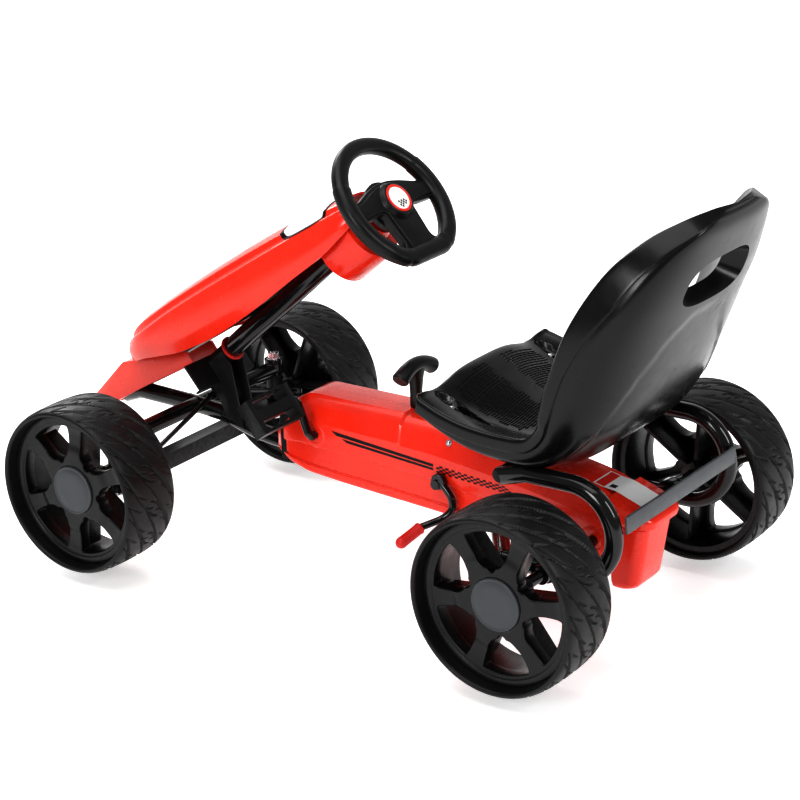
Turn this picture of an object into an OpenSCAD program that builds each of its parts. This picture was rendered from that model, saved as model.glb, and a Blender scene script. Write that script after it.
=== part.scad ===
// Pedal go kart for a child: four plastic wheels, a central chain case, a pedal crank with a chain to
// the rear axle, a steered front axle, a moulded bucket seat, a shift lever and a parking brake lever.
// Frame: +X forward, +Y to the driver's left, +Z up; the ground is z = 0 and x = 0 is mid wheelbase.

/* [Wheels] */
// Distance between the front and rear axles
wheelbase = 728; // [720:1:736]
// Outer diameter of every tyre
wheel_d = 250; // [246:1:252]
// Width of a tyre
tyre_w = 100; // [96:1:102]
// Distance from the centre line to the middle of a front wheel
front_half_track = 245; // [243:1:248]
// Distance from the centre line to the middle of a rear wheel
rear_half_track = 248; // [246:1:250]
// Number of spokes in a rim
spokes = 6; // [5:1:8]

/* [Steering] */
// Height of the middle of the steering wheel
wheel_hub_z = 533.5; // [530:0.5:537]
// Position of the middle of the steering wheel, behind mid wheelbase
wheel_hub_back = 22; // [20:1:24]
// Slope of the steering column above the ground
column_tilt = 40.5; // [40:0.5:41]
// Outer radius of the steering wheel
steering_r = 103; // [98:1:106]
// Distance from the wheel's middle to its flat lower edge
steering_flat = 94; // [88:1:96]
// Distance from the centre line to a kingpin
kingpin_y = 184; // [183:0.5:185]
// Length of a knuckle's steering arm
steering_arm = 46; // [45:0.5:46]

/* [Drive] */
// Position of the crank axis ahead of mid wheelbase
crank_x = 100; // [98:1:102]
// Height of the crank axis
crank_z = 185; // [184:1:186]
// Length of a crank arm
crank_throw = 58; // [54:1:60]
// Angle of the left crank arm above straight ahead
crank_angle = 70; // [60:1:80]
// Slope of the pedal plates at rest
pedal_pitch = 52; // [45:1:60]
// Teeth of the crank sprocket
crank_teeth = 20; // [18:1:20]
// Teeth of the axle sprocket
axle_teeth = 13; // [12:1:14]
// Pitch of the chain
chain_pitch = 12.7; // [12.7:0.1:12.8]

/* [Frame] */
// Outer diameter of the rear loop tubes
loop_tube_d = 24; // [22:1:24]
// Distance from the centre line to a rear loop
loop_y = 150; // [148:1:152]
// Half width of the chain case
case_half_w = 48; // [47:0.5:49]
// Wall thickness of the chain case
case_wall = 3; // [2.5:0.5:3.5]

/* [Hidden] */
$fn = 64;
red = "orangered";
black = "#1a1a1c";
plastic = "#2b2c2e";
steel = "silver";
fit_gap = 0.05;
weld = 0.15;
wheel_r = wheel_d / 2;
front_x = wheelbase / 2;
rear_x = -wheelbase / 2;
axle_z = wheel_r;
axle_r = 8;
spindle_r = 8;
rim_seat_r = 113;
rim_bore_r = axle_r + fit_gap;
hub_face = 35;
cap_r = 36.3;
kingpin_r = 5;
shaft_r = 9;
column_bore_r = 13;
column_r = 16;
crank_r = 6;
spine_r = 13;
spine_path = [[508, 0, 158], [476, 0, 170], [380, 0, 168], [307, 0, 163], [247, 0, 147], [190, 0, 141], [158, 0, 143]];
lower_beam_z = 105;
upper_beam_z = 167;
beam_half = 12.5;
lug_r = 14;
barrel_z0 = 104.3;
barrel_z1 = 159.7;
loop_r = loop_tube_d / 2;
loop_low_z = 122;
loop_high_z = 250;
loop_bend_x = -395;
loop_bend_r = (loop_high_z - loop_low_z) / 2;
carrier_x = -285;
carrier_z = 237.5;
pad_z = 248;
pitman_s = 478;
pitman_reach = 36;

// ---------- helpers ----------

// Round bar from p to q
module rod(p, q, r) {
  v = q - p;
  translate(p) rotate([0, acos(v[2] / norm(v)), atan2(v[1], v[0])]) cylinder(r = r, h = norm(v));
}

// Round bar through a list of points, with a slightly prouder ball at each inner bend
module bent_rod(points, r) {
  for (i = [0:len(points) - 2]) rod(points[i], points[i + 1], r);
  for (i = [1:len(points) - 2]) translate(points[i]) sphere(r = r + weld);
}

// Cylinder along Y centred on p, from y0 to y1
module bar_y(p, y0, y1, r) {
  translate([p[0], y1, p[2]]) rotate([90, 0, 0]) cylinder(r = r, h = y1 - y0);
}

// Polygon in the XZ plane, given as [x, z] points, thickened from y0 to y1
module plate_y(points, y0, y1) {
  translate([0, y1, 0]) rotate([90, 0, 0]) linear_extrude(y1 - y0) polygon(points);
}

// Places children on the steering axis, s below the wheel: local +Z points up the column
module on_column(s) {
  translate([-wheel_hub_back, 0, wheel_hub_z]) rotate([0, column_tilt - 90, 0]) translate([0, 0, -s]) children();
}

// Point of the steering plane: s down the column and u up and forward across it
function column_point(s, u) = [-wheel_hub_back + s * cos(column_tilt) + u * sin(column_tilt), 0,
  wheel_hub_z - s * sin(column_tilt) + u * cos(column_tilt)];

// Mirrors children to the driver's right when side is -1
module side_of(side) {
  if (side > 0) children();
  else mirror([0, 1, 0]) children();
}

// Smooth curve through control tuples p at parameter t, counted in control points
function spline(p, t) =
  let (i = min(floor(t), len(p) - 2), u = t - i, b = p[i], c = p[i + 1],
    a = p[max(i - 1, 0)], d = p[min(i + 2, len(p) - 1)])
  0.5 * (2 * b + (c - a) * u + (2 * a - 5 * b + 4 * c - d) * u * u + (3 * b - a - 3 * c + d) * u * u * u);

// Triangles across a ring whose second half runs back along its first
function cap_strip(n) = [for (j = [0:n / 2 - 2]) each [[j, j + 1, n - 1 - j], [j + 1, n - 2 - j, n - 1 - j]]];

// Closed skin over equal rings of points, capped at both ends
module loft(rings) {
  n = len(rings[0]);
  last = (len(rings) - 1) * n;
  sides = [for (i = [0:len(rings) - 2], j = [0:n - 1]) let (a = i * n + j, b = i * n + (j + 1) % n)
    each [[a, b + n, b], [a, a + n, b + n]]];
  caps = cap_strip(n);
  far_caps = [for (c = caps) [last + c[2], last + c[1], last + c[0]]];
  polyhedron([for (r = rings) each r], concat(caps, sides, far_caps));
}

// ---------- wheels, built about +Z as the outboard direction ----------

module wheel_place(x, y) {
  translate([x, y, axle_z]) rotate([y > 0 ? -90 : 90, 0, 0]) children();
}

module tyre(x, y) {
  h = tyre_w / 2;
  color(plastic) wheel_place(x, y) rotate_extrude($fn = 128)
    polygon([[rim_seat_r, -h + 5], [rim_seat_r + 3, -h], [wheel_r - 7, -h], [wheel_r - 3, -h + 5],
      [wheel_r - 1, -h + 17], [wheel_r, -h + 36], [wheel_r, h - 36], [wheel_r - 1, h - 17],
      [wheel_r - 3, h - 5], [wheel_r - 7, h], [rim_seat_r + 3, h], [rim_seat_r, h - 5]]);
}

// Side of a spoke, as [distance from the axis, half width] points
spoke_edge = [[46, 18], [52, 12.5], [62, 11], [78, 11.5], [93, 14]];
window_in_r = 43;
window_out_r = 96.5;

// Opening between two spokes, mirrored about the line halfway between them
function window_outline() = let (m = 180 / spokes, a = atan2(spoke_edge[4][1], spoke_edge[4][0]) + 1)
  concat([[window_in_r * cos(m), window_in_r * sin(m)]], spoke_edge,
    [for (i = [0:4]) let (b = a + i * (m - a) / 2) window_out_r * [cos(b), sin(b)]],
    [for (i = [4:-1:0]) let (p = spoke_edge[i])
      [p[0] * cos(2 * m) + p[1] * sin(2 * m), p[0] * sin(2 * m) - p[1] * cos(2 * m)]]);

module rim(x, y) {
  barrel_r = 98;
  ring_face = 32;
  hub_r = 36;
  color(black) wheel_place(x, y) difference() {
    union() {
      rotate_extrude($fn = 128) polygon([[rim_seat_r, -40], [rim_seat_r, ring_face], [barrel_r, ring_face],
        [barrel_r, 9], [barrel_r + 3, 4], [barrel_r + 6, -40]]);
      translate([0, 0, 11]) linear_extrude(19) difference() {
        circle(r = barrel_r + 2, $fn = 128);
        for (a = [0:360 / spokes:359]) rotate(a) polygon(window_outline());
      }
      translate([0, 0, 10]) cylinder(r = hub_r, h = ring_face - 10);
      translate([0, 0, -30]) cylinder(r = 17, h = 50);
    }
    translate([0, 0, -40]) cylinder(r = rim_bore_r, h = 80);
    translate([0, 0, 24]) cylinder(r = 14, h = 20);
  }
}

module hub_cap(x, y) {
  color(plastic) wheel_place(x, y) union() {
    translate([0, 0, 32]) cylinder(r = cap_r, h = hub_face - 32);
  }
}

// ---------- frame ----------

module main_frame() {
  plate = [[168, 134], [168, 204], [70, 204], [40, 152], [-300, 150], [-300, 112], [60, 132]];
  color(black) difference() {
    union() {
      for (s = [-1, 1]) side_of(s) plate_y(plate, 37, 43);
      translate([154, -37, 134]) cube([14, 74, 24]);
      translate([-300, -37, 112]) cube([8, 74, 30]);
    }
    bar_y([crank_x, 0, crank_z], -50, 50, crank_r + 6);
    rod(spine_path[5], spine_path[6], spine_r);
  }
}

module spine_tube() {
  color(black) difference() {
    bent_rod(spine_path, spine_r);
    bar_y([front_x, 0, upper_beam_z], -30, 30, beam_half);
  }
}

// Lateral front beam with a lug at each end, bored for the kingpin
module front_beam(z, lug_z0, lug_z1, round_bar) {
  color(black) difference() {
    union() {
      if (round_bar) bar_y([front_x, 0, z], -kingpin_y + 9, kingpin_y - 9, beam_half);
      else translate([front_x - beam_half, -kingpin_y + 9, z - beam_half])
        cube([2 * beam_half, 2 * (kingpin_y - 9), 2 * beam_half]);
      for (s = [-1, 1]) translate([front_x, s * kingpin_y, lug_z0]) cylinder(r = lug_r, h = lug_z1 - lug_z0);
    }
    for (s = [-1, 1]) translate([front_x, s * kingpin_y, 60]) cylinder(r = kingpin_r, h = 160);
    for (s = [-1, 1]) translate([front_x, s * kingpin_y, barrel_z0 - 0.3]) cylinder(r = lug_r + 1, h = barrel_z1 - barrel_z0 + 0.6);
  }
}

module lower_beam() { front_beam(lower_beam_z, 92.5, barrel_z0 - 0.3, false); }

module upper_beam() { front_beam(upper_beam_z, barrel_z1 + 0.3, 184, true); }

module kingpins() {
  color(steel) for (s = [-1, 1]) translate([front_x, s * kingpin_y, 0]) {
    translate([0, 0, 86.5]) cylinder(r = kingpin_r, h = 110);
    translate([0, 0, 86.5]) cylinder(r = 9, h = 6, $fn = 6);
    translate([0, 0, 184]) cylinder(r = 11, h = 2);
    translate([0, 0, 186]) cylinder(r = 9, h = 8, $fn = 6);
  }
}

module column_bracket() {
  sleeve_top = 412;
  sleeve_end = 468;
  cheek = [column_point(414, 4), column_point(464, 4), column_point(464, -14), [292, 0, 164], [262, 0, 152], column_point(414, -20)];
  color(black) difference() {
    union() {
      on_column(sleeve_end) cylinder(r = 14.5, h = sleeve_end - sleeve_top);
      for (s = [-1, 1]) side_of(s) plate_y([for (p = cheek) [p[0], p[2]]], spine_r, spine_r + 3);
      on_column(452) translate([-30, -62, 0]) cube([44, 124, 4]);
      on_column(452) translate([-30, -62, -8]) cube([3, 124, 8]);
    }
    on_column(520) cylinder(r = shaft_r + 0.4, h = 140);
    bent_rod(spine_path, spine_r);
  }
}

module nose_bracket() {
  outer = [[560, 130], [567, 138], [484, 222], [352, 262], [340, 246], [468, 176], [546, 130]];
  inner = [[556, 134], [560, 138], [480, 217], [330, 272], [330, 240], [468, 180], [546, 126]];
  color(red) difference() {
    plate_y(outer, -30, 30);
    plate_y(inner, -27, 27);
    plate_y([[460, 180], [460, 290], [320, 290], [320, 250]], -27, 27);
    rod(support_foot, support_head, 12);
    bent_rod(spine_path, spine_r);
  }
}

support_foot = [478, 0, 197];
support_head = [112, 0, 423];

module support_tube() {
  color(black) difference() {
    union() {
      rod(support_foot, support_head, 12);
      rod([478, 0, 197], [500, 0, 176], 8);
    }
    on_column(420) cylinder(r = column_r, h = 380);
    bent_rod(spine_path, spine_r);
  }
}

module column_tube() {
  color(black) on_column(404) difference() {
    cylinder(r = column_r, h = 346);
    translate([0, 0, -1]) cylinder(r = column_bore_r, h = 348);
  }
}

module column_bushes() {
  color(red) {
    on_column(408) bush();
    on_column(54) mirror([0, 0, 1]) bush();
  }
}

module bush() {
  difference() {
    union() {
      cylinder(r = column_r + 3, h = 4);
      cylinder(r = column_bore_r, h = 20);
    }
    translate([0, 0, -1]) cylinder(r = shaft_r + fit_gap, h = 30);
  }
}

module head_housing() {
  color(red) difference() {
    union() {
      on_column(126) intersection() {
        union() {
          translate([-6, 0, 0]) cylinder(r = 45, h = 66);
          translate([-6, -45, 0]) cube([34, 90, 66]);
        }
        translate([-60, -60, 0]) cube([80, 120, 66]);
      }
      on_column(60) cylinder(r = 27, h = 24);
      on_column(52) translate([-8, 0, 0]) sphere(r = 22);
    }
    on_column(130) intersection() {
      translate([-6, 0, 0]) cylinder(r = 42, h = 67);
      translate([-60, -60, 0]) cube([77, 120, 67]);
    }
    on_column(130) cylinder(r = column_r + 3.3, h = 84);
    on_column(130) cylinder(r = shaft_r + 1, h = 140);
    rod(support_foot, support_head, 12.2);
  }
}

// ---------- fairing: a thin arched cover lofted along the column ----------

fairing_start = [472, 232];
fairing_tilt = 32.9;
fairing_wall = 3;
// Each row: distance along the fairing, half width, lower edge, shoulder, crest
fairing_rows = [[-9, 12, -5, 1, 7], [8, 40, -9, 12, 22], [45, 60, -13, 18, 33], [95, 73, -24, 21, 38],
  [160, 79, -42, 21, 41], [240, 81, -49, 20, 42], [330, 79, -46, 18, 40], [420, 72, -38, 16, 36],
  [490, 60, -30, 14, 29], [528, 46, -16, 10, 22]];
fairing_steps = 36;

function fairing_place(q, y, n) = [fairing_start[0] - q * cos(fairing_tilt) + n * sin(fairing_tilt), y,
  fairing_start[1] + q * sin(fairing_tilt) + n * cos(fairing_tilt)];

// Outer half section from the lower edge to the crest, as [y, n] points
function fairing_half(w, e, sh, c) = [[w, e], [1.02 * w, e + 0.35 * (sh - e)], [0.96 * w, e + 0.7 * (sh - e)],
  [0.83 * w, sh - 1], [0.7 * w, sh + 4], [0.45 * w, sh + 0.7 * (c - sh)], [0.2 * w, sh + 0.95 * (c - sh)]];

function fairing_arch(w, e, sh, c) = let (h = fairing_half(w, e, sh, c))
  concat(h, [[0, c]], [for (i = [len(h) - 1:-1:0]) [-h[i][0], h[i][1]]]);

function fairing_ring(t) = let (r = spline(fairing_rows, t), g = fairing_wall)
  concat([for (p = fairing_arch(r[1], r[2], r[3], r[4])) fairing_place(r[0], p[0], p[1])],
    [for (p = fairing_arch(r[1] - g, r[2], r[3] - g, r[4] - g)) fairing_place(r[0], -p[0], p[1])]);

module fairing() {
  rings = [for (i = [0:fairing_steps]) fairing_ring(i * (len(fairing_rows) - 1) / fairing_steps)];
  color(red) loft(rings);
}

// ---------- rear frame and seat mount ----------

module rear_loop(side) {
  bend = [loop_bend_x, loop_y, (loop_high_z + loop_low_z) / 2];
  color(black) side_of(side) difference() {
    union() {
      translate(bend) rotate([90, 0, 0]) rotate([0, 0, 90]) rotate_extrude(angle = 180)
        translate([loop_bend_r, 0]) circle(r = loop_r, $fn = 48);
      bent_rod([[loop_bend_x, loop_y, loop_high_z], [-330, loop_y, loop_high_z], [carrier_x, loop_y, carrier_z]], loop_r);
      bent_rod([[loop_bend_x, loop_y, loop_low_z], [-290, loop_y, loop_low_z], [-215, case_half_w + 4, loop_low_z]], loop_r);
      bar_y([rear_x, 0, axle_z], loop_y - 15, loop_y + 15, 16);
      translate([-240, case_half_w + 0.5, loop_low_z - 16]) cube([50, 5, 32]);
    }
    bar_y([rear_x, 0, axle_z], loop_y - 30, loop_y + 30, 11.5);
    translate([-280, case_half_w - 19.5, loop_low_z - 20]) cube([120, 20, 40]);
    bar_y([carrier_x, 0, carrier_z], 0, loop_y + 30, 10);
  }
}

module axle_bearings() {
  color(steel) for (s = [-1, 1]) side_of(s) difference() {
    union() {
      bar_y([rear_x, 0, axle_z], loop_y - 15, loop_y + 15, 11.5);
      bar_y([rear_x, 0, axle_z], loop_y + 15, loop_y + 18, 14);
    }
    bar_y([rear_x, 0, axle_z], 0, loop_y + 30, axle_r + fit_gap);
  }
}

module rear_cross_bar() {
  x = loop_bend_x - loop_bend_r - loop_r;
  color("#55585c") difference() {
    translate([x - 3, -loop_y + 8, 193]) cube([4, 2 * loop_y - 16, 24]);
    for (s = [-1, 1]) side_of(s) translate([loop_bend_x, loop_y, (loop_high_z + loop_low_z) / 2])
      rotate([90, 0, 0]) rotate([0, 0, 90]) rotate_extrude(angle = 180) translate([loop_bend_r, 0]) circle(r = loop_r, $fn = 48);
  }
}

module seat_carrier() {
  color(black) difference() {
    union() {
      bar_y([carrier_x, 0, carrier_z], -loop_y, loop_y, 10);
      translate([carrier_x - 12, -70, pad_z - 4]) cube([132, 140, 4]);
      translate([-192, -24, 230]) cube([26, 48, pad_z - 232]);
    }
    for (p = seat_bolt_spots) translate([p[0], p[1], 200]) cylinder(r = 4.2, h = 80);
  }
}

seat_bolt_spots = [for (x = [-258, -180], s = [-1, 1]) [x, 50 * s]];

module seat_bolts() {
  color(steel) for (p = seat_bolt_spots) translate([p[0], p[1], pad_z - 10]) {
    cylinder(r = 7, h = 6, $fn = 6);
    cylinder(r = 4, h = 34);
  }
}

// ---------- seat: a double-walled bucket lofted along its centre line ----------

// Each row: x, z of the sitting surface, half width, side height, thickness, depth of the thigh hollows
seat_rows = [[-156, 325, 150, 6, 30, 12], [-200, 303, 155, 7, 42, 10], [-265, 286, 160, 12, 34, 8],
  [-335, 277, 165, 22, 28, 6], [-398, 297, 170, 42, 27, 3], [-436, 345, 173, 60, 26, 0],
  [-470, 430, 172, 66, 25, 0], [-505, 515, 152, 57, 24, 0], [-535, 580, 112, 32, 20, 0],
  [-554.6, 612, 54, 8, 14, 0]];
seat_steps = 40;
seat_cuts = 14;

// Height of the sitting surface above its centre line, u from -1 to 1 across the seat
function seat_dish(u, side_h, hollow) = side_h * pow(abs(u), 2.6) - hollow * pow(sin(180 * abs(u)), 2);

function seat_ring(t) =
  let (r = spline(seat_rows, t), a = spline(seat_rows, max(t - 0.05, 0)), b = spline(seat_rows, min(t + 0.05, len(seat_rows) - 1)),
    d = [b[0] - a[0], b[1] - a[1]] / norm([b[0] - a[0], b[1] - a[1]]),
    up = [d[1], -d[0]],
    us = [for (i = [0:seat_cuts]) -1 + 2 * i / seat_cuts])
  concat([for (u = us) let (h = seat_dish(u, r[3], r[5])) [r[0] + h * up[0], r[2] * u, r[1] + h * up[1]]],
    [for (i = [seat_cuts:-1:0]) let (u = us[i], h = seat_dish(u, r[3], 0) - r[4] * (1 - 0.3 * pow(u, 4)))
      [r[0] + h * up[0], (r[2] + 4) * u, r[1] + h * up[1]]]);

module seat_shell() {
  rings = [for (i = [0:seat_steps]) seat_ring(i * (len(seat_rows) - 1) / seat_steps)];
  color(plastic) difference() {
    loft(rings);
    hand_hole();
    translate([carrier_x - 16, -74, pad_z - 60]) cube([140, 148, 60.2]);
  }
}

// Slot through the upper back for carrying
module hand_hole() {
  translate([-515, 0, 515]) rotate([0, 70, 0]) translate([0, 0, -80])
    linear_extrude(160) union() {
      translate([-22, -42]) square([44, 84]);
      for (s = [-1, 1]) translate([0, s * 42]) circle(r = 22);
    }
}

// ---------- chain case: two thin half shells with a flat deck and a stepped side ----------

// Each row: x, deck height, bottom height, half width, half width of the deck
case_rows = [[190, 163, 151, 24, 8], [178, 184, 147, 36, 16], [155, 216, 138, 44, 22], [128, 238, 131, 47, 26],
  [90, 240, 123, 48, 27], [0, 240, 117, 48, 28], [-105, 238, 110, 48, 29], [-200, 223, 104.5, 48, 30],
  [-290, 208, 96, 48, 32], [-340, 198, 80, 48, 33], [-384, 188, 78, 46, 33]];
case_steps = 30;

// Half section from the deck's centre line round to the bottom's, shrunk by g
function case_half(r, g) = let (w = r[3] - g, d = r[4], top = r[1] - g, low = r[2] + g, m = (top - low) / 8)
  [[0.15, top], [d, top], [d + 0.5 * (w - d), top - 0.8 * m], [w, top - 2 * m], [w, top - 2.3 * m],
   [w - 3, top - 2.7 * m], [w - 3, low + 2.6 * m], [w, low + 2.2 * m], [w - 2, low + 0.5 * m], [w - 8, low], [0.15, low]];

function case_ring(t) = let (r = spline(case_rows, t), out = case_half(r, 0), in = case_half(r, case_wall))
  concat([for (p = out) [r[0], p[0], p[1]]], [for (i = [len(in) - 1:-1:0]) [r[0], in[i][0], in[i][1]]]);

module case_shell(side) {
  rings = [for (i = [0:case_steps]) case_ring(i * (len(case_rows) - 1) / case_steps)];
  color(red) side_of(side) difference() {
    loft(rings);
    bar_y([crank_x, 0, crank_z], -60, 60, 12.5);
    bar_y([rear_x, 0, axle_z], -60, 60, 12);
    translate([-62, -8, 220]) cube([34, 16, 40]);
    bent_rod(spine_path, spine_r + 0.4);
    bar_y([rear_x, 0, 0], 30, 31, 1);
  }
}

module tail_box() {
  color(red) difference() {
    union() {
      plate_y([[-384.5, 80], [-384.5, 170], [-446, 160], [-434, 66], [-418, 60], [-392, 62]], -42, 42);
      plate_y([[-384.5, 158], [-384.5, 186], [-440, 172], [-450, 162], [-450, 152]], -46, 46);
    }
    plate_y([[-380, 84], [-380, 165], [-440, 155], [-430, 69], [-417, 64], [-394, 66]], -39, 39);
  }
}

module case_screws() {
  color(steel) for (x = [-130, -229], s = [-1, 1]) side_of(s)
    translate([x, case_half_w - 3.5, x == -130 ? 209 : 196]) rotate([-90, 0, 0]) cylinder(r = 4.5, h = 6);
}

// ---------- steering ----------

// Left half of the hub and its three spokes, as [up, left] points from the top down
wheel_plate_half = [[32, 18], [26, 42], [18, 66], [18, 84], [-12, 84], [-12, 60], [-9, 31], [-64, 29], [-85, 32]];

module steering_wheel() {
  tube_r = 11;
  ring_r = steering_r - tube_r;
  flat_y = steering_flat - tube_r;
  half = sqrt(ring_r * ring_r - flat_y * flat_y);
  end_a = atan2(-flat_y, half);
  color(plastic) on_column(0) difference() {
    union() {
      rotate([0, 0, end_a - 90]) rotate_extrude(angle = 180 - 2 * end_a, $fn = 96)
        translate([ring_r, 0]) circle(r = tube_r, $fn = 32);
      rod([-flat_y, -half, 0], [-flat_y, half, 0], tube_r);
      for (s = [-1, 1]) translate([-flat_y, s * half, 0]) sphere(r = tube_r + weld);
      translate([0, 0, -22]) cylinder(r = 40, h = 22);
      translate([0, 0, -14]) linear_extrude(12) polygon(concat(wheel_plate_half,
        [for (i = [len(wheel_plate_half) - 1:-1:0]) [wheel_plate_half[i][0], -wheel_plate_half[i][1]]]));
    }
    translate([0, 0, -40]) cylinder(r = shaft_r, h = 34);
  }
}

module wheel_pad() {
  color(plastic) on_column(0) {
    cylinder(r = 36, h = 5);
    translate([0, 0, 5]) cylinder(r = 24, h = 3);
  }
}

module steering_shaft() {
  color(steel) on_column(pitman_s + 8) cylinder(r = shaft_r, h = pitman_s + 8 - 8);
}

module pitman_arm() {
  color(black) on_column(pitman_s) difference() {
    union() {
      translate([0, 0, -4]) cylinder(r = 15, h = 8);
      translate([-pitman_reach, -9, -3]) cube([pitman_reach, 18, 6]);
      translate([-pitman_reach, 0, -3]) cylinder(r = 9, h = 6);
      translate([-pitman_reach, 0, -15]) cylinder(r = 3, h = 13);
    }
    translate([0, 0, -20]) cylinder(r = shaft_r, h = 40);
  }
}

tie_pin = [front_x - steering_arm, kingpin_y, 131];
tie_eye_s = [pitman_s + 4.8, pitman_s + 8.8];

// Tie rod whose inner eye hangs, with clearance, on the pitman arm's bolt; the two eyes lie one below the other
module tie_rod(side) {
  joint = tie_pin + [0, 0, 13];
  eye = column_point(tie_eye_s[side > 0 ? 0 : 1], -pitman_reach);
  color(steel) side_of(side) difference() {
    union() {
      translate(tie_pin + [0, 0, -8]) cylinder(r = 3, h = 17);
      translate(tie_pin + [0, 0, -9]) cylinder(r = 5, h = 3);
      translate(tie_pin + [0, 0, 5]) cylinder(r = 6.5, h = 8);
      rod(joint - [0, 4, 3], eye + [0, 18, 0], 3.5);
      translate(eye) rotate([0, column_tilt - 90, 0]) translate([0, 0, -1.5]) {
        cylinder(r = 10, h = 3);
        translate([-5, 0, 0]) cube([10, 22, 3]);
      }
    }
    translate(eye) rotate([0, column_tilt - 90, 0]) translate([0, 0, -20]) cylinder(r = 6.9, h = 40);
  }
}

module knuckle(side) {
  color(black) side_of(side) difference() {
    union() {
      translate([front_x, kingpin_y, barrel_z0]) cylinder(r = 13, h = barrel_z1 - barrel_z0);
      bar_y([front_x, 0, axle_z], kingpin_y, front_half_track + 25, spindle_r);
      bar_y([front_x, 0, axle_z], kingpin_y + 16, front_half_track - 30.5, 13);
      translate([front_x - steering_arm, kingpin_y - 7, 128]) cube([steering_arm, 14, 5]);
      translate([front_x - steering_arm, kingpin_y, 128]) cylinder(r = 7, h = 5);
    }
    translate([front_x, kingpin_y, 90]) cylinder(r = kingpin_r + fit_gap, h = 90);
    translate([front_x - steering_arm, kingpin_y, 120]) cylinder(r = 3 + fit_gap, h = 30);
  }
}

// ---------- drive ----------

function pitch_r(teeth) = chain_pitch / (2 * sin(180 / teeth));

// Four outline points of tooth i of a sprocket of pitch radius r
function tooth(i, teeth, r) = [for (k = [[-0.3, -3.5], [-0.12, 2.5], [0.12, 2.5], [0.3, -3.5]])
  let (a = (i + k[0]) * 360 / teeth) (r + k[1]) * [cos(a), sin(a)]];

module sprocket(p, teeth, hub_r) {
  r = pitch_r(teeth);
  color(steel) difference() {
    union() {
      translate(p + [0, 1.3, 0]) rotate([90, 0, 0]) linear_extrude(2.6)
        polygon([for (i = [0:teeth - 1]) each tooth(i, teeth, r)]);
      bar_y(p, -6, 6, hub_r + 6);
    }
    bar_y(p, -10, 10, hub_r);
  }
}

crank_centre = [crank_x, 0, crank_z];
axle_centre = [rear_x, 0, axle_z];

module axle_sprocket() { sprocket(axle_centre, axle_teeth, axle_r); }

module crank_sprocket() { sprocket(crank_centre, crank_teeth, crank_r); }

module rear_axle() {
  end = rear_half_track + 26;
  color(steel) {
    bar_y(axle_centre, -end, end, axle_r);
    for (s = [-1, 1]) side_of(s) bar_y(axle_centre, loop_y + 18.5, loop_y + 28, 13);
  }
}

// Outline around circles of radius a at the origin and b at distance d, joined by their tangents
function belt(a, b, d) = let (lean = asin((b - a) / d)) concat(
  [for (i = [0:12]) let (t = 90 + lean + i * (180 - 2 * lean) / 12) a * [cos(t), sin(t)]],
  [for (i = [0:16]) let (t = -90 - lean + i * (180 + 2 * lean) / 16) [d + b * cos(t), b * sin(t)]]);

// The two side bands of the chain's loop, standing for its link plates
module chain() {
  r1 = pitch_r(crank_teeth);
  r2 = pitch_r(axle_teeth);
  run = crank_centre - axle_centre;
  band = 3.6;
  color(steel) for (s = [-1, 1]) translate([rear_x, s * 3.4 + 0.9, axle_z]) rotate([90, 0, 0])
    rotate([0, 0, atan2(run[2], run[0])]) linear_extrude(1.8) difference() {
      polygon(belt(r2 + band, r1 + band, norm(run)));
      polygon(belt(r2 - band, r1 - band, norm(run)));
    }
}

pedal_arm = crank_throw * [cos(crank_angle), 0, sin(crank_angle)];
pedal_in = 62;
pedal_y0 = 73;
pedal_y1 = 163;

module crank() {
  color(black) for (s = [-1, 1]) side_of(s) {
    path = [[0, 0, 0], [0, 56, 0], [0, 61, 0] + s * pedal_arm * 0.12, [0, 61, 0] + s * pedal_arm * 0.88,
      [0, pedal_in + 4, 0] + s * pedal_arm];
    bent_rod([for (p = path) crank_centre + p], crank_r);
    bar_y(crank_centre + s * pedal_arm, pedal_in + 4, pedal_y1 - 3, 5);
    translate(crank_centre + s * pedal_arm + [0, pedal_in + 4, 0]) sphere(r = crank_r + weld);
  }
}

module crank_bearings() {
  color(steel) for (s = [-1, 1]) side_of(s) difference() {
    bar_y(crank_centre, 34, 47, crank_r + 6);
    bar_y(crank_centre, 0, 60, crank_r + fit_gap);
  }
}

// Platform pedal with a window each side of its spindle barrel
module pedal(side) {
  len_p = 54;
  color(plastic) side_of(side) translate(crank_centre + side * pedal_arm) rotate([0, 90 - pedal_pitch - 90, 0]) difference() {
    union() {
      difference() {
        translate([-len_p / 2, pedal_y0, -11]) cube([len_p, pedal_y1 - pedal_y0, 22]);
        for (s = [-1, 1]) translate([s * 15.5 - 7, pedal_y0 + 10, -20]) cube([14, pedal_y1 - pedal_y0 - 20, 40]);
      }
      for (x = [-24, 24], y = [pedal_y0 + 8:14.8:pedal_y1 - 6], z = [-1, 1]) translate([x, y, z * 11 - 1]) cylinder(r = 2, h = 2, $fn = 8);
    }
    translate([0, pedal_y1 - 2, 0]) rotate([90, 0, 0]) cylinder(r = 5 + fit_gap, h = pedal_y1);
  }
}

// ---------- controls ----------

shift_x = -45;
shift_z = 222;

module shift_lever() {
  color(black) difference() {
    union() {
      bar_y([shift_x, 0, shift_z], -7, 7, 7);
      rod([shift_x, 0, shift_z], [shift_x - 3, 0, 284], 4.5);
    }
    bar_y([shift_x, 0, shift_z], -20, 20, 3 + fit_gap);
  }
}

module shift_pivot_pin() {
  color(steel) bar_y([shift_x, 0, shift_z], -26, 26, 3);
}

grip_arc_r = 70;
grip_half_a = 42;

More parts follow.
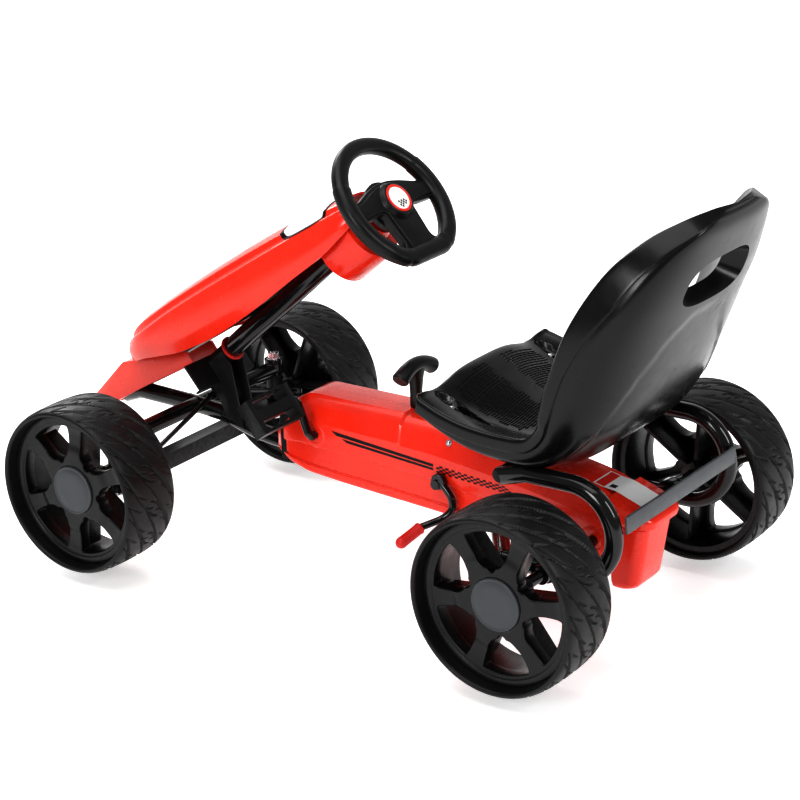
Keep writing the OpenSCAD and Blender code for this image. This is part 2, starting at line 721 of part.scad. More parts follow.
module shift_grip() {
  color(plastic) difference() {
    union() {
      translate([shift_x - 3, 0, 268]) cylinder(r = 8, h = 30);
      translate([shift_x - 3, 0, 232]) rotate([90, 0, -90]) rotate([0, 0, 90 - grip_half_a])
        rotate_extrude(angle = 2 * grip_half_a) translate([grip_arc_r, 0]) circle(r = 11, $fn = 48);
      for (s = [-1, 1]) translate([shift_x - 3, s * grip_arc_r * sin(grip_half_a), 232 + grip_arc_r * cos(grip_half_a)])
        sphere(r = 11 + weld);
    }
    rod([shift_x, 0, shift_z], [shift_x - 3, 0, 284], 4.5);
  }
}

brake_pin = [-117, 0, 157];

module brake_pivot_bolt() {
  color(steel) {
    bar_y(brake_pin, case_half_w - 8, case_half_w + 12, 4);
    bar_y(brake_pin, case_half_w + 9, case_half_w + 13, 7);
  }
}

brake_foot = [-116, 60, 94];

module brake_lever() {
  arm = [[-126, 162], [-110, 166], [-106, 158], [-110, 90], [-124, 88], [-130, 100]];
  color(black) difference() {
    union() {
      plate_y(arm, case_half_w + 3, case_half_w + 8);
      bar_y(brake_pin, case_half_w + 2, case_half_w + 8.5, 10);
      bent_rod([brake_foot - [0, 6, 0], brake_foot + [2, 12, -3], brake_foot + [6, 40, -8]], 5.5);
    }
    bar_y(brake_pin, 0, 100, 4 + fit_gap);
  }
}

module brake_grip() {
  a = brake_foot + [5, 34, -7];
  b = brake_foot + [16, 92, -20];
  color(red) difference() {
    union() {
      rod(a, b, 9.5);
      translate(b) sphere(r = 9.5 + weld);
    }
    bent_rod([brake_foot - [0, 6, 0], brake_foot + [2, 12, -3], brake_foot + [6, 40, -8]], 5.5);
  }
}

// ---------- nodes ----------

main_frame();
spine_tube();
lower_beam();
upper_beam();
column_bracket();
nose_bracket();
support_tube();
column_tube();
column_bushes();
head_housing();
fairing();
rear_loop(1);  // rear_loop_left
rear_loop(-1);  // rear_loop_right
rear_cross_bar();
seat_carrier();
case_shell(1);  // case_left
case_shell(-1);  // case_right
tail_box();
case_screws();
axle_bearings();
crank_bearings();
kingpins();
shift_pivot_pin();
brake_pivot_bolt();
chain();
seat_shell();
seat_bolts();
steering_wheel();
wheel_pad();
steering_shaft();
pitman_arm();
tie_rod(1);  // tie_rod_left
tie_rod(-1);  // tie_rod_right
knuckle(1);  // knuckle_left
knuckle(-1);  // knuckle_right
tyre(front_x, front_half_track);  // tyre_front_left
rim(front_x, front_half_track);  // rim_front_left
hub_cap(front_x, front_half_track);  // cap_front_left
tyre(front_x, -front_half_track);  // tyre_front_right
rim(front_x, -front_half_track);  // rim_front_right
hub_cap(front_x, -front_half_track);  // cap_front_right
tyre(rear_x, rear_half_track);  // tyre_rear_left
rim(rear_x, rear_half_track);  // rim_rear_left
hub_cap(rear_x, rear_half_track);  // cap_rear_left
tyre(rear_x, -rear_half_track);  // tyre_rear_right
rim(rear_x, -rear_half_track);  // rim_rear_right
hub_cap(rear_x, -rear_half_track);  // cap_rear_right
rear_axle();
axle_sprocket();
crank();
crank_sprocket();
pedal(1);  // pedal_left
pedal(-1);  // pedal_right
shift_lever();
shift_grip();
brake_lever();
brake_grip();
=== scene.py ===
"""Looks of the pedal go kart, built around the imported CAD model.

Lengths are in millimetres unless a name says otherwise, and MM turns them into Blender's metres.
Frame: +X forward, +Y the driver's left, +Z up; the ground is z = 0 and x = 0 is mid wheelbase.
"""

import math
from contextlib import contextmanager

import bmesh
import bpy
import numpy as np
from mathutils import Matrix, Vector
from mathutils.geometry import delaunay_2d_cdt


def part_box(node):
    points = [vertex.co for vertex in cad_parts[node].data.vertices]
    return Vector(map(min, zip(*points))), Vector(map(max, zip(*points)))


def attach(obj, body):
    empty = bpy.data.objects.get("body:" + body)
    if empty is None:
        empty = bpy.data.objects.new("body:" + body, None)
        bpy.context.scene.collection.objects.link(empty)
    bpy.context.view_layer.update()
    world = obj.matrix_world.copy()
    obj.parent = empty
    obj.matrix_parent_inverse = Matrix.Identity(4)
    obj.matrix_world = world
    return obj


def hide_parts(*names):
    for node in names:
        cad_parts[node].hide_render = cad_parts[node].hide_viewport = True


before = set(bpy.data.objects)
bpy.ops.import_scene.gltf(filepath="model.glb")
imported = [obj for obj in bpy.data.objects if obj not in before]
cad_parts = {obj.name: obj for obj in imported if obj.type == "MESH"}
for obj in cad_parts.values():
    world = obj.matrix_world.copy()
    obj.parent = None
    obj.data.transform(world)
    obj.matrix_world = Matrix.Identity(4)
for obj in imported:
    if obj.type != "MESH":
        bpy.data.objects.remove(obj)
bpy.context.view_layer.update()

MM = 0.001


# ---------- materials ----------

def add_node(tree, kind, inputs, **settings):
    """A shader node; each of its inputs is a value or another node's output."""
    node = tree.nodes.new("ShaderNode" + kind)
    for setting, value in settings.items():
        setattr(node, setting, value)
    for socket, value in inputs.items():
        if isinstance(value, bpy.types.NodeSocket):
            tree.links.new(value, node.inputs[socket])
        else:
            node.inputs[socket].default_value = value
    return node


def new_material(name, roughness, metallic=0.0, **sockets):
    """A Principled material and its node tree; sockets are set on the shader itself."""
    material = bpy.data.materials.new(name)
    material.use_nodes = True
    shader = material.node_tree.nodes["Principled BSDF"]
    shader.inputs["Roughness"].default_value = roughness
    shader.inputs["Metallic"].default_value = metallic
    for socket, value in sockets.items():
        shader.inputs[socket.replace("_", " ")].default_value = value
    return material, material.node_tree, shader


def noise(tree, scale, detail):
    """Noise in the piece's own coordinates; scale is the number of features in a metre."""
    place = tree.nodes.new("ShaderNodeTexCoord").outputs["Object"]
    return add_node(tree, "TexNoise", {"Scale": scale, "Detail": detail, "Vector": place}).outputs["Fac"]


def spread(tree, value, low, high, start=0.3, end=0.7):
    """The value, mapped from start..end to low..high; most noise lies between 0.3 and 0.7."""
    ends = {"From Min": start, "From Max": end, "To Min": low, "To Max": high}
    return add_node(tree, "MapRange", {**ends, "Value": value}).outputs["Result"]


def blended(tree, share, first, second):
    """The colour at a share of the way from the first to the second."""
    mix = add_node(tree, "Mix", {"A": first, "B": second, "Factor": share}, data_type="RGBA")
    return mix.outputs["Result"]


def with_worn_edges(tree, colour, worn):
    """The colour, rubbed down to the worn one in spots along the convex edges."""
    edges = tree.nodes.new("ShaderNodeNewGeometry")
    convex = spread(tree, edges.outputs["Pointiness"], 0, 1, start=0.53, end=0.60)
    spots = spread(tree, noise(tree, 160, 3), 0, 0.55)
    rubbed = add_node(tree, "Math", {0: convex, 1: spots}, operation="MULTIPLY")
    return blended(tree, rubbed.outputs["Value"], colour, (*worn, 1))


def moulded(name, dark, light, rough, grain, grain_height, metallic=0.0, worn=None, **sockets):
    """A moulded or painted surface: cloudy colour, uneven gloss, a fine grain and rubbed edges."""
    material, tree, shader = new_material(name, rough[0], metallic, **sockets)
    colour = blended(tree, spread(tree, noise(tree, 14, 6), 0, 1), (*dark, 1), (*light, 1))
    if worn:
        colour = with_worn_edges(tree, colour, worn)
    height = noise(tree, grain, 2)
    bump = add_node(tree, "Bump", {"Strength": 1.0, "Distance": grain_height * MM, "Height": height})
    tree.links.new(colour, shader.inputs["Base Color"])
    tree.links.new(spread(tree, noise(tree, 55, 5), *rough), shader.inputs["Roughness"])
    tree.links.new(bump.outputs["Normal"], shader.inputs["Normal"])
    return material


RED = moulded("red_gloss", (0.74, 0.028, 0.009), (0.83, 0.037, 0.012), (0.2, 0.3), 90, 0.05,
              Specular_IOR_Level=0.38, Coat_Weight=0.3, Coat_Roughness=0.07)
RED_METAL = moulded("red_powder_coat", (0.70, 0.028, 0.010), (0.80, 0.038, 0.013), (0.26, 0.38), 900, 0.03,
                    worn=(0.9, 0.25, 0.18), Coat_Weight=0.3, Coat_Roughness=0.15)
TUBE = moulded("black_gloss_paint", (0.004, 0.004, 0.0045), (0.008, 0.008, 0.0085), (0.10, 0.2), 120, 0.04,
               worn=(0.05, 0.05, 0.055), Specular_IOR_Level=0.35, Coat_Weight=0.35, Coat_Roughness=0.05)
PLATE = moulded("black_sheet_paint", (0.006, 0.006, 0.0065), (0.012, 0.012, 0.013), (0.28, 0.42), 700, 0.03,
                worn=(0.06, 0.06, 0.065), Specular_IOR_Level=0.25)
SEAT = moulded("seat_plastic", (0.0025, 0.0025, 0.0028), (0.004, 0.004, 0.0044), (0.2, 0.28), 1500, 0.015,
               Specular_IOR_Level=0.32, Coat_Weight=0.1, Coat_Roughness=0.15)
GRIP = moulded("black_grip_plastic", (0.004, 0.004, 0.0045), (0.008, 0.008, 0.0085), (0.3, 0.44), 1600, 0.05,
               worn=(0.06, 0.06, 0.065), Specular_IOR_Level=0.36)
TYRE = moulded("tyre_plastic", (0.004, 0.004, 0.0044), (0.009, 0.009, 0.0095), (0.34, 0.5), 1200, 0.06,
               worn=(0.055, 0.055, 0.057), Specular_IOR_Level=0.36)
RIM = moulded("rim_plastic", (0.003, 0.003, 0.0033), (0.006, 0.006, 0.0065), (0.24, 0.36), 1300, 0.025,
              worn=(0.06, 0.06, 0.065), Specular_IOR_Level=0.36)
CAP = moulded("cap_plastic", (0.043, 0.046, 0.051), (0.054, 0.057, 0.063), (0.36, 0.46), 1700, 0.02)
GREY = moulded("grey_paint", (0.045, 0.049, 0.055), (0.062, 0.067, 0.074), (0.26, 0.4), 800, 0.03,
               worn=(0.3, 0.3, 0.31))
ZINC = moulded("zinc_plate", (0.55, 0.56, 0.58), (0.78, 0.78, 0.8), (0.16, 0.34), 600, 0.02, metallic=1.0)
OILED = moulded("oiled_steel", (0.10, 0.10, 0.11), (0.24, 0.24, 0.25), (0.3, 0.5), 500, 0.03, metallic=0.9)
RED_RUBBER = moulded("red_rubber", (0.50, 0.012, 0.008), (0.62, 0.02, 0.012), (0.38, 0.52), 1500, 0.04)
WHITE = moulded("white_film", (0.80, 0.80, 0.80), (0.88, 0.88, 0.88), (0.2, 0.28), 400, 0.01)
INK = moulded("black_film", (0.004, 0.004, 0.005), (0.007, 0.007, 0.008), (0.4, 0.5), 400, 0.01,
              Specular_IOR_Level=0.25)
RED_FILM = moulded("red_film", (0.62, 0.02, 0.012), (0.70, 0.03, 0.015), (0.25, 0.35), 400, 0.01)


# ---------- mesh helpers ----------

MERGE = 0.01 * MM    # points closer than this are joined


@contextmanager
def edited(mesh):
    """Opens the mesh for editing, and writes the edits back at the end."""
    work = bmesh.new()
    work.from_mesh(mesh)
    yield work
    work.to_mesh(mesh)
    work.free()


def tidy_faces(work, smooth):
    """Joins the points that coincide and sets the faces' shading."""
    bmesh.ops.remove_doubles(work, verts=work.verts, dist=MERGE)
    for face in work.faces:
        face.smooth = smooth


def linked(name, data):
    """A new object in the scene."""
    obj = bpy.data.objects.new(name, data)
    bpy.context.scene.collection.objects.link(obj)
    return obj


def add_object(name, verts, faces, material, smooth=True):
    """A mesh object from points in millimetres."""
    mesh = bpy.data.meshes.new(name)
    mesh.from_pydata([Vector(v) * MM for v in verts], [], [list(map(int, f)) for f in faces])
    mesh.validate()
    with edited(mesh) as work:
        tidy_faces(work, smooth)
        bmesh.ops.recalc_face_normals(work, faces=work.faces)
    mesh.materials.append(material)
    return linked(name, mesh)


def grid_faces(rows, cols, wrap_rows=False, wrap_cols=False, start=0):
    """Quads over a grid of points numbered row by row."""
    faces = []
    for i in range(rows if wrap_rows else rows - 1):
        for j in range(cols if wrap_cols else cols - 1):
            a, b = start + i * cols + j, start + i * cols + (j + 1) % cols
            c, d = start + (i + 1) % rows * cols + (j + 1) % cols, start + (i + 1) % rows * cols + j
            faces.append((a, b, c, d))
    return faces


def strip_cap(cols, start, flip):
    """Faces across a ring whose second half runs back along its first."""
    half = cols // 2
    faces = [(start + j, start + j + 1, start + cols - 2 - j, start + cols - 1 - j) for j in range(half - 1)]
    return [tuple(reversed(f)) for f in faces] if flip else faces


def flat_cap(cols, start, flip):
    """One flat face across a ring."""
    face = tuple(range(start, start + cols))
    return [face[::-1] if flip else face]


def skin(name, rings, material, cap=strip_cap):
    """A tube of rings, closed by a cap at both ends."""
    rings = np.asarray(rings, float)
    rows, cols = rings.shape[:2]
    faces = grid_faces(rows, cols, wrap_cols=True)
    faces += cap(cols, 0, True) + cap(cols, (rows - 1) * cols, False)
    return add_object(name, rings.reshape(-1, 3), faces, material)


def make_films(name, outlines, low, high, material, place):
    """Flat films between two heights; place(u, v, height) gives the outlines' points in the frame."""
    verts, faces = [], []
    for outline in outlines:
        cols, base = len(outline), len(verts)
        verts += [place(u, v, height) for height in (low, high) for u, v in outline]
        faces += grid_faces(2, cols, wrap_cols=True, start=base)
        faces += flat_cap(cols, base, True) + flat_cap(cols, base + cols, False)
    return add_object(name, verts, faces, material, smooth=False)


def full_turn(count):
    """Angles spread evenly over a full turn."""
    return np.linspace(0, 2 * math.pi, count, endpoint=False)


def polar(radius, angles):
    """Points in a plane at a radius and angles."""
    return np.stack([radius * np.cos(angles), radius * np.sin(angles)], -1)


def raised(points, height):
    """Points of a plane lifted to a height, or each to its own height."""
    return np.column_stack([points, np.broadcast_to(height, len(points))])


def squared(value, power):
    """A sine or cosine raised to a power with its sign kept: a power below 1 makes a circle squarer."""
    return np.sign(value) * np.abs(value) ** power


def ease(value, start, end):
    """A smooth step from 0 at start to 1 at end."""
    share = np.clip((value - start) / (end - start), 0, 1)
    return share * share * (3 - 2 * share)


def turned(name, profile, sides, material, closed=True):
    """A body of revolution about +Z from (radius, height) points; closed joins its last and first point."""
    profile = np.asarray(profile, float)
    angles = full_turn(sides)
    points = np.stack([np.outer(np.cos(angles), profile[:, 0]), np.outer(np.sin(angles), profile[:, 0]),
                       np.tile(profile[:, 1], (sides, 1))], axis=-1)
    faces = grid_faces(sides, len(profile), wrap_rows=True, wrap_cols=closed)
    return add_object(name, points.reshape(-1, 3), faces, material)


def spline(rows, t):
    """Catmull-Rom curve through rows of numbers at parameters t, counted in rows."""
    rows = np.asarray(rows, float)
    t = np.asarray(t, float)
    i = np.clip(np.floor(t).astype(int), 0, len(rows) - 2)
    u = (t - i)[..., None]
    a, b = rows[np.maximum(i - 1, 0)], rows[i]
    c, d = rows[i + 1], rows[np.minimum(i + 2, len(rows) - 1)]
    square, cube = 2 * a - 5 * b + 4 * c - d, 3 * b - a - 3 * c + d
    return 0.5 * (2 * b + (c - a) * u + square * u ** 2 + cube * u ** 3)


def through(points, count):
    """count points along a smooth curve through the points given."""
    return spline(points, np.linspace(0, len(points) - 1, count))


def normals(loop):
    """Outward unit normals of an anticlockwise loop."""
    along = np.roll(loop, -1, 0) - np.roll(loop, 1, 0)
    along /= np.linalg.norm(along, axis=1)[:, None]
    return np.stack([along[:, 1], -along[:, 0]], -1)


def evaluated(obj):
    """The object's shape with its modifiers, as a new mesh."""
    graph = bpy.context.evaluated_depsgraph_get()
    return bpy.data.meshes.new_from_object(obj.evaluated_get(graph))


def outline_plate(name, outline, z0, z1, round_edge, material):
    """A flat plate with the outline given, between z0 and z1, with rounded edges."""
    curve = bpy.data.curves.new(name, "CURVE")
    curve.dimensions = "2D"
    curve.fill_mode = "BOTH"
    curve.extrude = ((z1 - z0) / 2 - round_edge) * MM
    curve.bevel_depth = round_edge * MM
    curve.bevel_resolution = 3
    curve.offset = -round_edge * MM
    line = curve.splines.new("POLY")
    line.points.add(len(outline) - 1)
    line.use_cyclic_u = True
    for point, (x, y) in zip(line.points, outline):
        point.co = (x * MM, y * MM, 0, 1)
    shape = linked(name, curve)
    shape.location.z = (z0 + z1) / 2 * MM
    bpy.context.view_layer.update()
    return curve_to_mesh(shape, name, material)


def curve_to_mesh(shape, name, material):
    """The curve object's evaluated shape as a plain mesh object, in place."""
    mesh = evaluated(shape)
    mesh.transform(shape.matrix_world)
    bpy.data.objects.remove(shape)
    mesh.materials.clear()
    mesh.materials.append(material)
    with edited(mesh) as work:
        tidy_faces(work, smooth=True)
    return linked(name, mesh)


def smooth_corners(obj, angle):
    """Marks the edges sharper than angle, so that smooth shading stops there."""
    with edited(obj.data) as work:
        for edge in work.edges:
            edge.smooth = len(edge.link_faces) == 2 and edge.calc_face_angle(0) < math.radians(angle)
    return obj


def shade_smooth(obj):
    """Shades every face of the piece smooth."""
    for face in obj.data.polygons:
        face.use_smooth = True


def round_edges(obj, width):
    """Rounds the piece's sharp edges."""
    bevel = obj.modifiers.new("round", "BEVEL")
    bevel.width = width * MM
    bevel.segments = 3
    bevel.limit_method = "ANGLE"
    bevel.angle_limit = math.radians(30)
    bevel.harden_normals = True


def apply_modifiers(obj):
    """Replaces the mesh by its evaluated shape."""
    mesh = evaluated(obj)
    obj.modifiers.clear()
    obj.data = mesh
    return obj


def joined(name, *pieces):
    """One object from several mesh objects."""
    target = pieces[0]
    with bpy.context.temp_override(active_object=target, selected_editable_objects=list(pieces)):
        bpy.ops.object.join()
    target.name = name
    target.data.name = name
    return target


def moved(obj, matrix):
    """Moves the mesh itself, so that the object stays at the origin."""
    obj.data.transform(matrix)
    return obj


def put(obj, body, slot, *nodes):
    """Rides the piece on a body and hides the CAD nodes it stands for."""
    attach(obj, body)
    if nodes:
        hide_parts(*nodes)
    return obj


def centre(node):
    """Middle of a CAD node's box, in millimetres."""
    low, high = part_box(node)
    return (low + high) / 2 / MM


def outboard(place, side):
    """Places a piece built about +Z, with +Z facing away from the kart's middle on that side."""
    return Matrix.Translation(Vector(place) * MM) @ Matrix.Rotation(-side * math.pi / 2, 4, "X")


def pointing(place, direction):
    """Places a piece built about +Z, with +Z along the direction."""
    turn = Vector((0, 0, 1)).rotation_difference(Vector(direction)).to_matrix().to_4x4()
    return Matrix.Translation(Vector(place) * MM) @ turn


def side_name(side):
    """Name of a side of the kart: +1 is the left."""
    return "left" if side > 0 else "right"


# ---------- wheels, built about +Z as the outboard direction ----------

TYRE_R = 125
TYRE_HALF_W = 50
BEAD_R = 113
TREAD_EDGE_R = 119.5
TREAD_PITCHES = 15
TREAD_PITCH = 2 * math.pi * TYRE_R / TREAD_PITCHES

# Outer profile of a tyre from its outboard bead over the tread to its inboard bead, as (radius, height)
TYRE_PROFILE = [(112.4, 28), (112.6, 36), (113.0, 43), (113.8, 47), (115.4, 49.4), (117.4, 50), (119.4, 49.2),
                (121.3, 46.5), (122.8, 41.5), (123.9, 33), (124.6, 22), (124.9, 11), (125, 0)]
TYRE_PROFILE += [(r, -z) for r, z in TYRE_PROFILE[-2::-1]]

# Each groove: share across at its start and end, sweep in pitches, bend, offset in pitches, half width, depth
GROOVES = [(-0.12, 0.93, 1.55, 1.7, 0.00, 1.8, 3.4), (0.06, 0.90, 1.20, 2.3, 0.30, 1.25, 2.9),
           (0.30, 0.96, 0.62, 1.3, 0.62, 1.1, 2.6), (0.52, 0.97, 0.30, 1.0, 0.30, 0.95, 2.3),
           (-0.02, 0.55, 0.95, 1.1, 0.74, 1.15, 2.7)]


def groove(phase, w, start, end, sweep, bend, offset, half, deep):
    """Depth of one curved groove at a phase, in pitches around, and a share w across half the tread."""
    s = np.clip((w - start) / (end - start), 0, 1)
    line = offset + sweep * s ** bend
    slope = sweep * bend * np.maximum(s, 0.02) ** (bend - 1) / (end - start)
    along = ((phase - line + 0.5) % 1 - 0.5) * TREAD_PITCH
    beyond = np.maximum(np.maximum(start - w, w - end), 0) * TYRE_HALF_W
    distance = np.hypot(np.abs(along) / np.hypot(1, slope * TREAD_PITCH / TYRE_HALF_W), beyond)
    width = half * (0.35 + 0.65 * np.sin(math.pi * np.clip(s, 0.06, 0.94)))
    return deep * np.clip(1.3 - distance / width, 0, 1) ** 0.7


def groove_depth(turn, across):
    """Depth of the tread at an angle and a height across: flame-shaped grooves from each shoulder."""
    depth = np.zeros(np.broadcast(turn, across).shape)
    for side in (-1, 1):
        phase = side * turn * TREAD_PITCHES / (2 * math.pi) + (0.5 if side < 0 else 0)
        for curve in GROOVES:
            depth = np.maximum(depth, groove(phase, side * across / TYRE_HALF_W, *curve))
    return depth


def make_tyre_mesh():
    """One tyre with its tread cut into the surface, closed by a plain lining."""
    around, steps = 720, 120
    turn = full_turn(around)[:, None]
    r, z = through(TYRE_PROFILE, steps).T
    depth = groove_depth(turn, z) * np.clip((r - TREAD_EDGE_R) / 2, 0, 1)
    slope_r, slope_z = np.gradient(r), np.gradient(z)
    length = np.hypot(slope_r, slope_z)
    radius = r - depth * np.abs(slope_z / length)
    height = z - depth * np.sign(z) * np.abs(slope_r / length)
    tread = np.stack([radius * np.cos(turn), radius * np.sin(turn), height], -1)
    inner = BEAD_R - 1.5
    lining = np.stack(np.broadcast_arrays(inner * np.cos(turn), inner * np.sin(turn), [[-26.0, 26.0]]), -1)
    points = np.concatenate([tread, lining], 1)
    faces = grid_faces(around, steps + 2, wrap_rows=True, wrap_cols=True)
    return add_object("tyre_master", points.reshape(-1, 3), faces, TYRE)


SPOKES = 6
WINDOW_OUT = 96.5
WINDOW_IN = 43
RING_IN = 101
DISC_OUT, DISC_IN, DISC_BACK = RING_IN + 0.6, 36.9, 11.0
FACE_H, FACE_STEP, FACE_RISE = 31.6, 2.6, 1.7    # at the hub, the step down and the rise to the ring
# Half width of a spoke at each distance from the axis
SPOKE_EDGE = [(45.5, 18.0), (48.5, 15.2), (52, 13.0), (57, 11.4), (64, 10.9), (75, 11.4), (86, 12.4),
              (92.5, 13.6)]
# The rounded edge of a window, as distances outside its wall and drops below the face
WINDOW_EDGE = [(2.0, 0.0), (1.3, 0.12), (0.7, 0.42), (0.25, 0.95), (0.0, 1.7)]


def spoke_window():
    """Outline of the opening between two spokes, as (x, y) points running from the hub out and back."""
    middle = math.pi / SPOKES
    edge = through(SPOKE_EDGE, 40)
    x, y = edge[-1]
    start = math.atan2(y + 3.4, x + 3.2)
    corner = through([(x, y), (x + 2.2, y + 1.0), polar(WINDOW_OUT, start)], 8)[1:-1]
    arc = polar(WINDOW_OUT, np.linspace(start, 2 * middle - start, 26))
    near = np.concatenate([edge, corner])
    c, s = math.cos(2 * middle), math.sin(2 * middle)
    far = (near @ np.array([[c, s], [s, -c]]))[::-1]
    share = np.linspace(-1, 1, 15)[1:-1]
    hub_angle = middle - share * (middle - math.atan2(edge[0][1], edge[0][0]))
    hub_r = WINDOW_IN + (np.linalg.norm(edge[0]) - WINDOW_IN) * np.abs(share) ** 2.2
    return np.concatenate([near, arc, far, polar(hub_r, hub_angle)])


def grown(loop, distance):
    """The loop moved outwards by a distance along its own normals."""
    return loop + normals(loop) * distance


def inside(loop, points):
    """Which points lie inside the closed loop."""
    x, y = points[:, 0], points[:, 1]
    result = np.zeros(len(points), bool)
    for (ax, ay), (bx, by) in zip(loop, np.roll(loop, -1, 0)):
        if ay != by:
            crossing = (ay > y) != (by > y)
            result ^= crossing & (x < (bx - ax) * (y - ay) / (by - ay) + ax)
    return result


def turned_by(loop, angle):
    """The loop turned about the axis."""
    c, s = math.cos(angle), math.sin(angle)
    return loop @ np.array([[c, s], [-s, c]])


def circle(radius, count):
    """Points around a circle about the axis."""
    return polar(radius, full_turn(count))


def on_face(points, drop=0.0):
    """Points lifted to the spokes' outer face, which steps down towards the ring, less the drop."""
    r = np.linalg.norm(points, axis=1)
    rise = np.clip((r - 84) / 12, 0, 1)
    return raised(points, FACE_H - FACE_STEP * ease(r, 57, 72) + FACE_RISE * rise * rise - drop)


def disc_grid(windows):
    """Points spread over the disc, clear of the windows' rounded edges."""
    points = np.concatenate([circle(r, int(r * 2.2)) for r in np.arange(39.5, RING_IN - 0.5, 2.5)])
    clear = np.ones(len(points), bool)
    for window in windows:
        clear &= ~inside(grown(window, WINDOW_EDGE[0][0] + 0.8), points)
    return points[clear]


def disc_triangles(circles, openings, grid):
    """Points and triangles of the flat disc between its two circles, outside the openings."""
    edges, start = [], 0
    for loop in circles + openings:
        edges += [(start + i, start + (i + 1) % len(loop)) for i in range(len(loop))]
        start += len(loop)
    flat = np.concatenate([*circles, *openings, grid])
    made = delaunay_2d_cdt([Vector(p) for p in flat], edges, [], 0, 1e-6)
    points = np.array([tuple(p) for p in made[0]])
    triangles = [tuple(t) for t in made[2]]
    middles = np.array([points[list(t)].mean(0) for t in triangles])
    r = np.linalg.norm(middles, axis=1)
    solid = (r > DISC_IN) & (r < DISC_OUT)
    for opening in openings:
        solid &= ~inside(opening, middles)
    return points, [t for t, is_solid in zip(triangles, solid) if is_solid]


def window_wall(window):
    """Rings down the wall of a window, rounded into the outer and the inner face."""
    rings = [(grown(window, out), drop) for out, drop in WINDOW_EDGE]
    outer = [on_face(ring, drop) for ring, drop in rings]
    return outer + [raised(ring, DISC_BACK + drop) for ring, drop in reversed(rings)]


def make_spokes():
    """The rim's disc with its windows: a curved outer face, rounded edges and a flat inner face."""
    windows = [turned_by(spoke_window(), 2 * math.pi * i / SPOKES) for i in range(SPOKES)]
    circles = [circle(DISC_OUT, 180), circle(DISC_IN, 96)]
    openings = [grown(window, WINDOW_EDGE[0][0]) for window in windows]
    points, triangles = disc_triangles(circles, openings, disc_grid(windows))
    verts = [*on_face(points), *raised(points, DISC_BACK)]
    faces = triangles + [tuple(len(points) + i for i in reversed(t)) for t in triangles]
    walls = [[on_face(loop), raised(loop, DISC_BACK)] for loop in circles]
    for wall in walls + [window_wall(window) for window in windows]:
        faces += grid_faces(len(wall), len(wall[0]), wrap_cols=True, start=len(verts))
        verts += [point for ring in wall for point in ring]
    return add_object("spokes", verts, faces, RIM)


def make_rim_mesh():
    """One rim: outer ring with a stepped lip, six slightly flared spokes, barrel, ribs and hub."""
    ring = turned("ring", [(BEAD_R - 0.6, -40), (BEAD_R - 0.6, 31.0), (BEAD_R - 1.1, 32.0),
                           (BEAD_R - 2.2, 32.4), (103.0, 32.2), (102.3, 31.9), (101.9, 31.2), (101.4, 30.9),
                           (100.6, 30.9), (99.6, 30.4), (99.0, 11), (100, 4), (103, -38), (104, -39.6),
                           (106, -40)], 200, RIM)
    hub = turned("hub", [(8.2, -30), (17, -30), (17, 8), (36, 10.5), (40.5, 11.5), (40.5, 29.8), (37.3, 31.6),
                         (36.9, 31.2), (36.9, 27), (8.2, 27)], 120, RIM)
    ribs = []
    for i in range(SPOKES):
        rib = outline_plate("rib", [(16, -3), (99.5, -3), (99.5, 3), (16, 3)], -22, 12, 0.8, RIM)
        ribs.append(moved(rib, Matrix.Rotation(2 * math.pi * i / SPOKES, 4, "Z")))
    return smooth_corners(joined("rim_master", ring, make_spokes(), hub, *ribs), 38)


def make_cap_mesh():
    """One hub cap: a flat disc with a fine ring groove and a rounded edge."""
    cap = turned("cap_master", [(0.02, 31.5), (36.2, 31.5), (36.3, 33.4), (35.6, 34.6), (34.4, 35),
                                (33.2, 34.9), (32.6, 34.4), (31.8, 34.35), (31.2, 34.7), (20, 34.8),
                                (0.02, 34.8)],
                 120, CAP, closed=False)
    return smooth_corners(cap, 50)


# Corner, the body its wheel rides on and the angle at which the wheel stands
WHEELS = [("front_left", "wheel_fl", 0.42), ("front_right", "wheel_fr", 0.9), ("rear_left", "wheel_rl", 0.13),
          ("rear_right", "axle", 0.6)]


def place_wheels():
    """Sets a tyre, a rim and a cap at each corner."""
    masters = [("tyre", "tyre", make_tyre_mesh()), ("rim", "rim_plastic", make_rim_mesh()),
               ("cap", "cap_plastic", make_cap_mesh())]
    for corner, body, angle in WHEELS:
        middle = centre("tyre_" + corner)
        place = outboard(middle, 1 if middle.y > 0 else -1) @ Matrix.Rotation(angle, 4, "Z")
        for kind, slot, master in masters:
            piece = moved(linked(f"{kind}_{corner}_look", master.data.copy()), place)
            put(piece, body, slot, f"{kind}_{corner}")
    for _, _, master in masters:
        bpy.data.objects.remove(master)


place_wheels()


# ---------- seat ----------

# Rows from the front lip over the pan and up the back:
# x, z of the sitting surface, half width, side height, thickness, thigh hollow, squareness of the underside
SEAT_ROWS = [(-153, 322, 146, -3, 8, 7, 1), (-156, 331, 149, -6, 16, 8, 0.85),
             (-162, 336.5, 152, -10, 22, 9, 0.7), (-172, 336, 154, -13, 28, 9, 0.65),
             (-186, 329, 156, -11, 32, 9, 0.6), (-212, 315, 159, -5, 36, 10, 0.55),
             (-250, 298, 161, 5, 36, 10, 0.5), (-300, 285, 163, 16, 33, 7, 0.55),
             (-345, 280, 165, 27, 28, 4, 0.6), (-385, 292, 168, 45, 27, 3, 0.65),
             (-412, 318, 171, 56, 27, 1, 0.7), (-436, 360, 173, 63, 26, 0, 0.75),
             (-470, 440, 171, 65, 25, 0, 0.8), (-501, 512, 152, 55, 24, 0, 0.8),
             (-522, 557, 124, 38, 21, 0, 0.85), (-537, 585, 89, 20, 17, 0, 0.9),
             (-545, 598, 56, 9, 10, 0, 1), (-549, 603, 37, 4, 4, 0, 1)]
FLANGE_DROP = 18
FLANGE_GROWTH = 20    # added to the flange on its way up the back
RIM_PROUD = 9
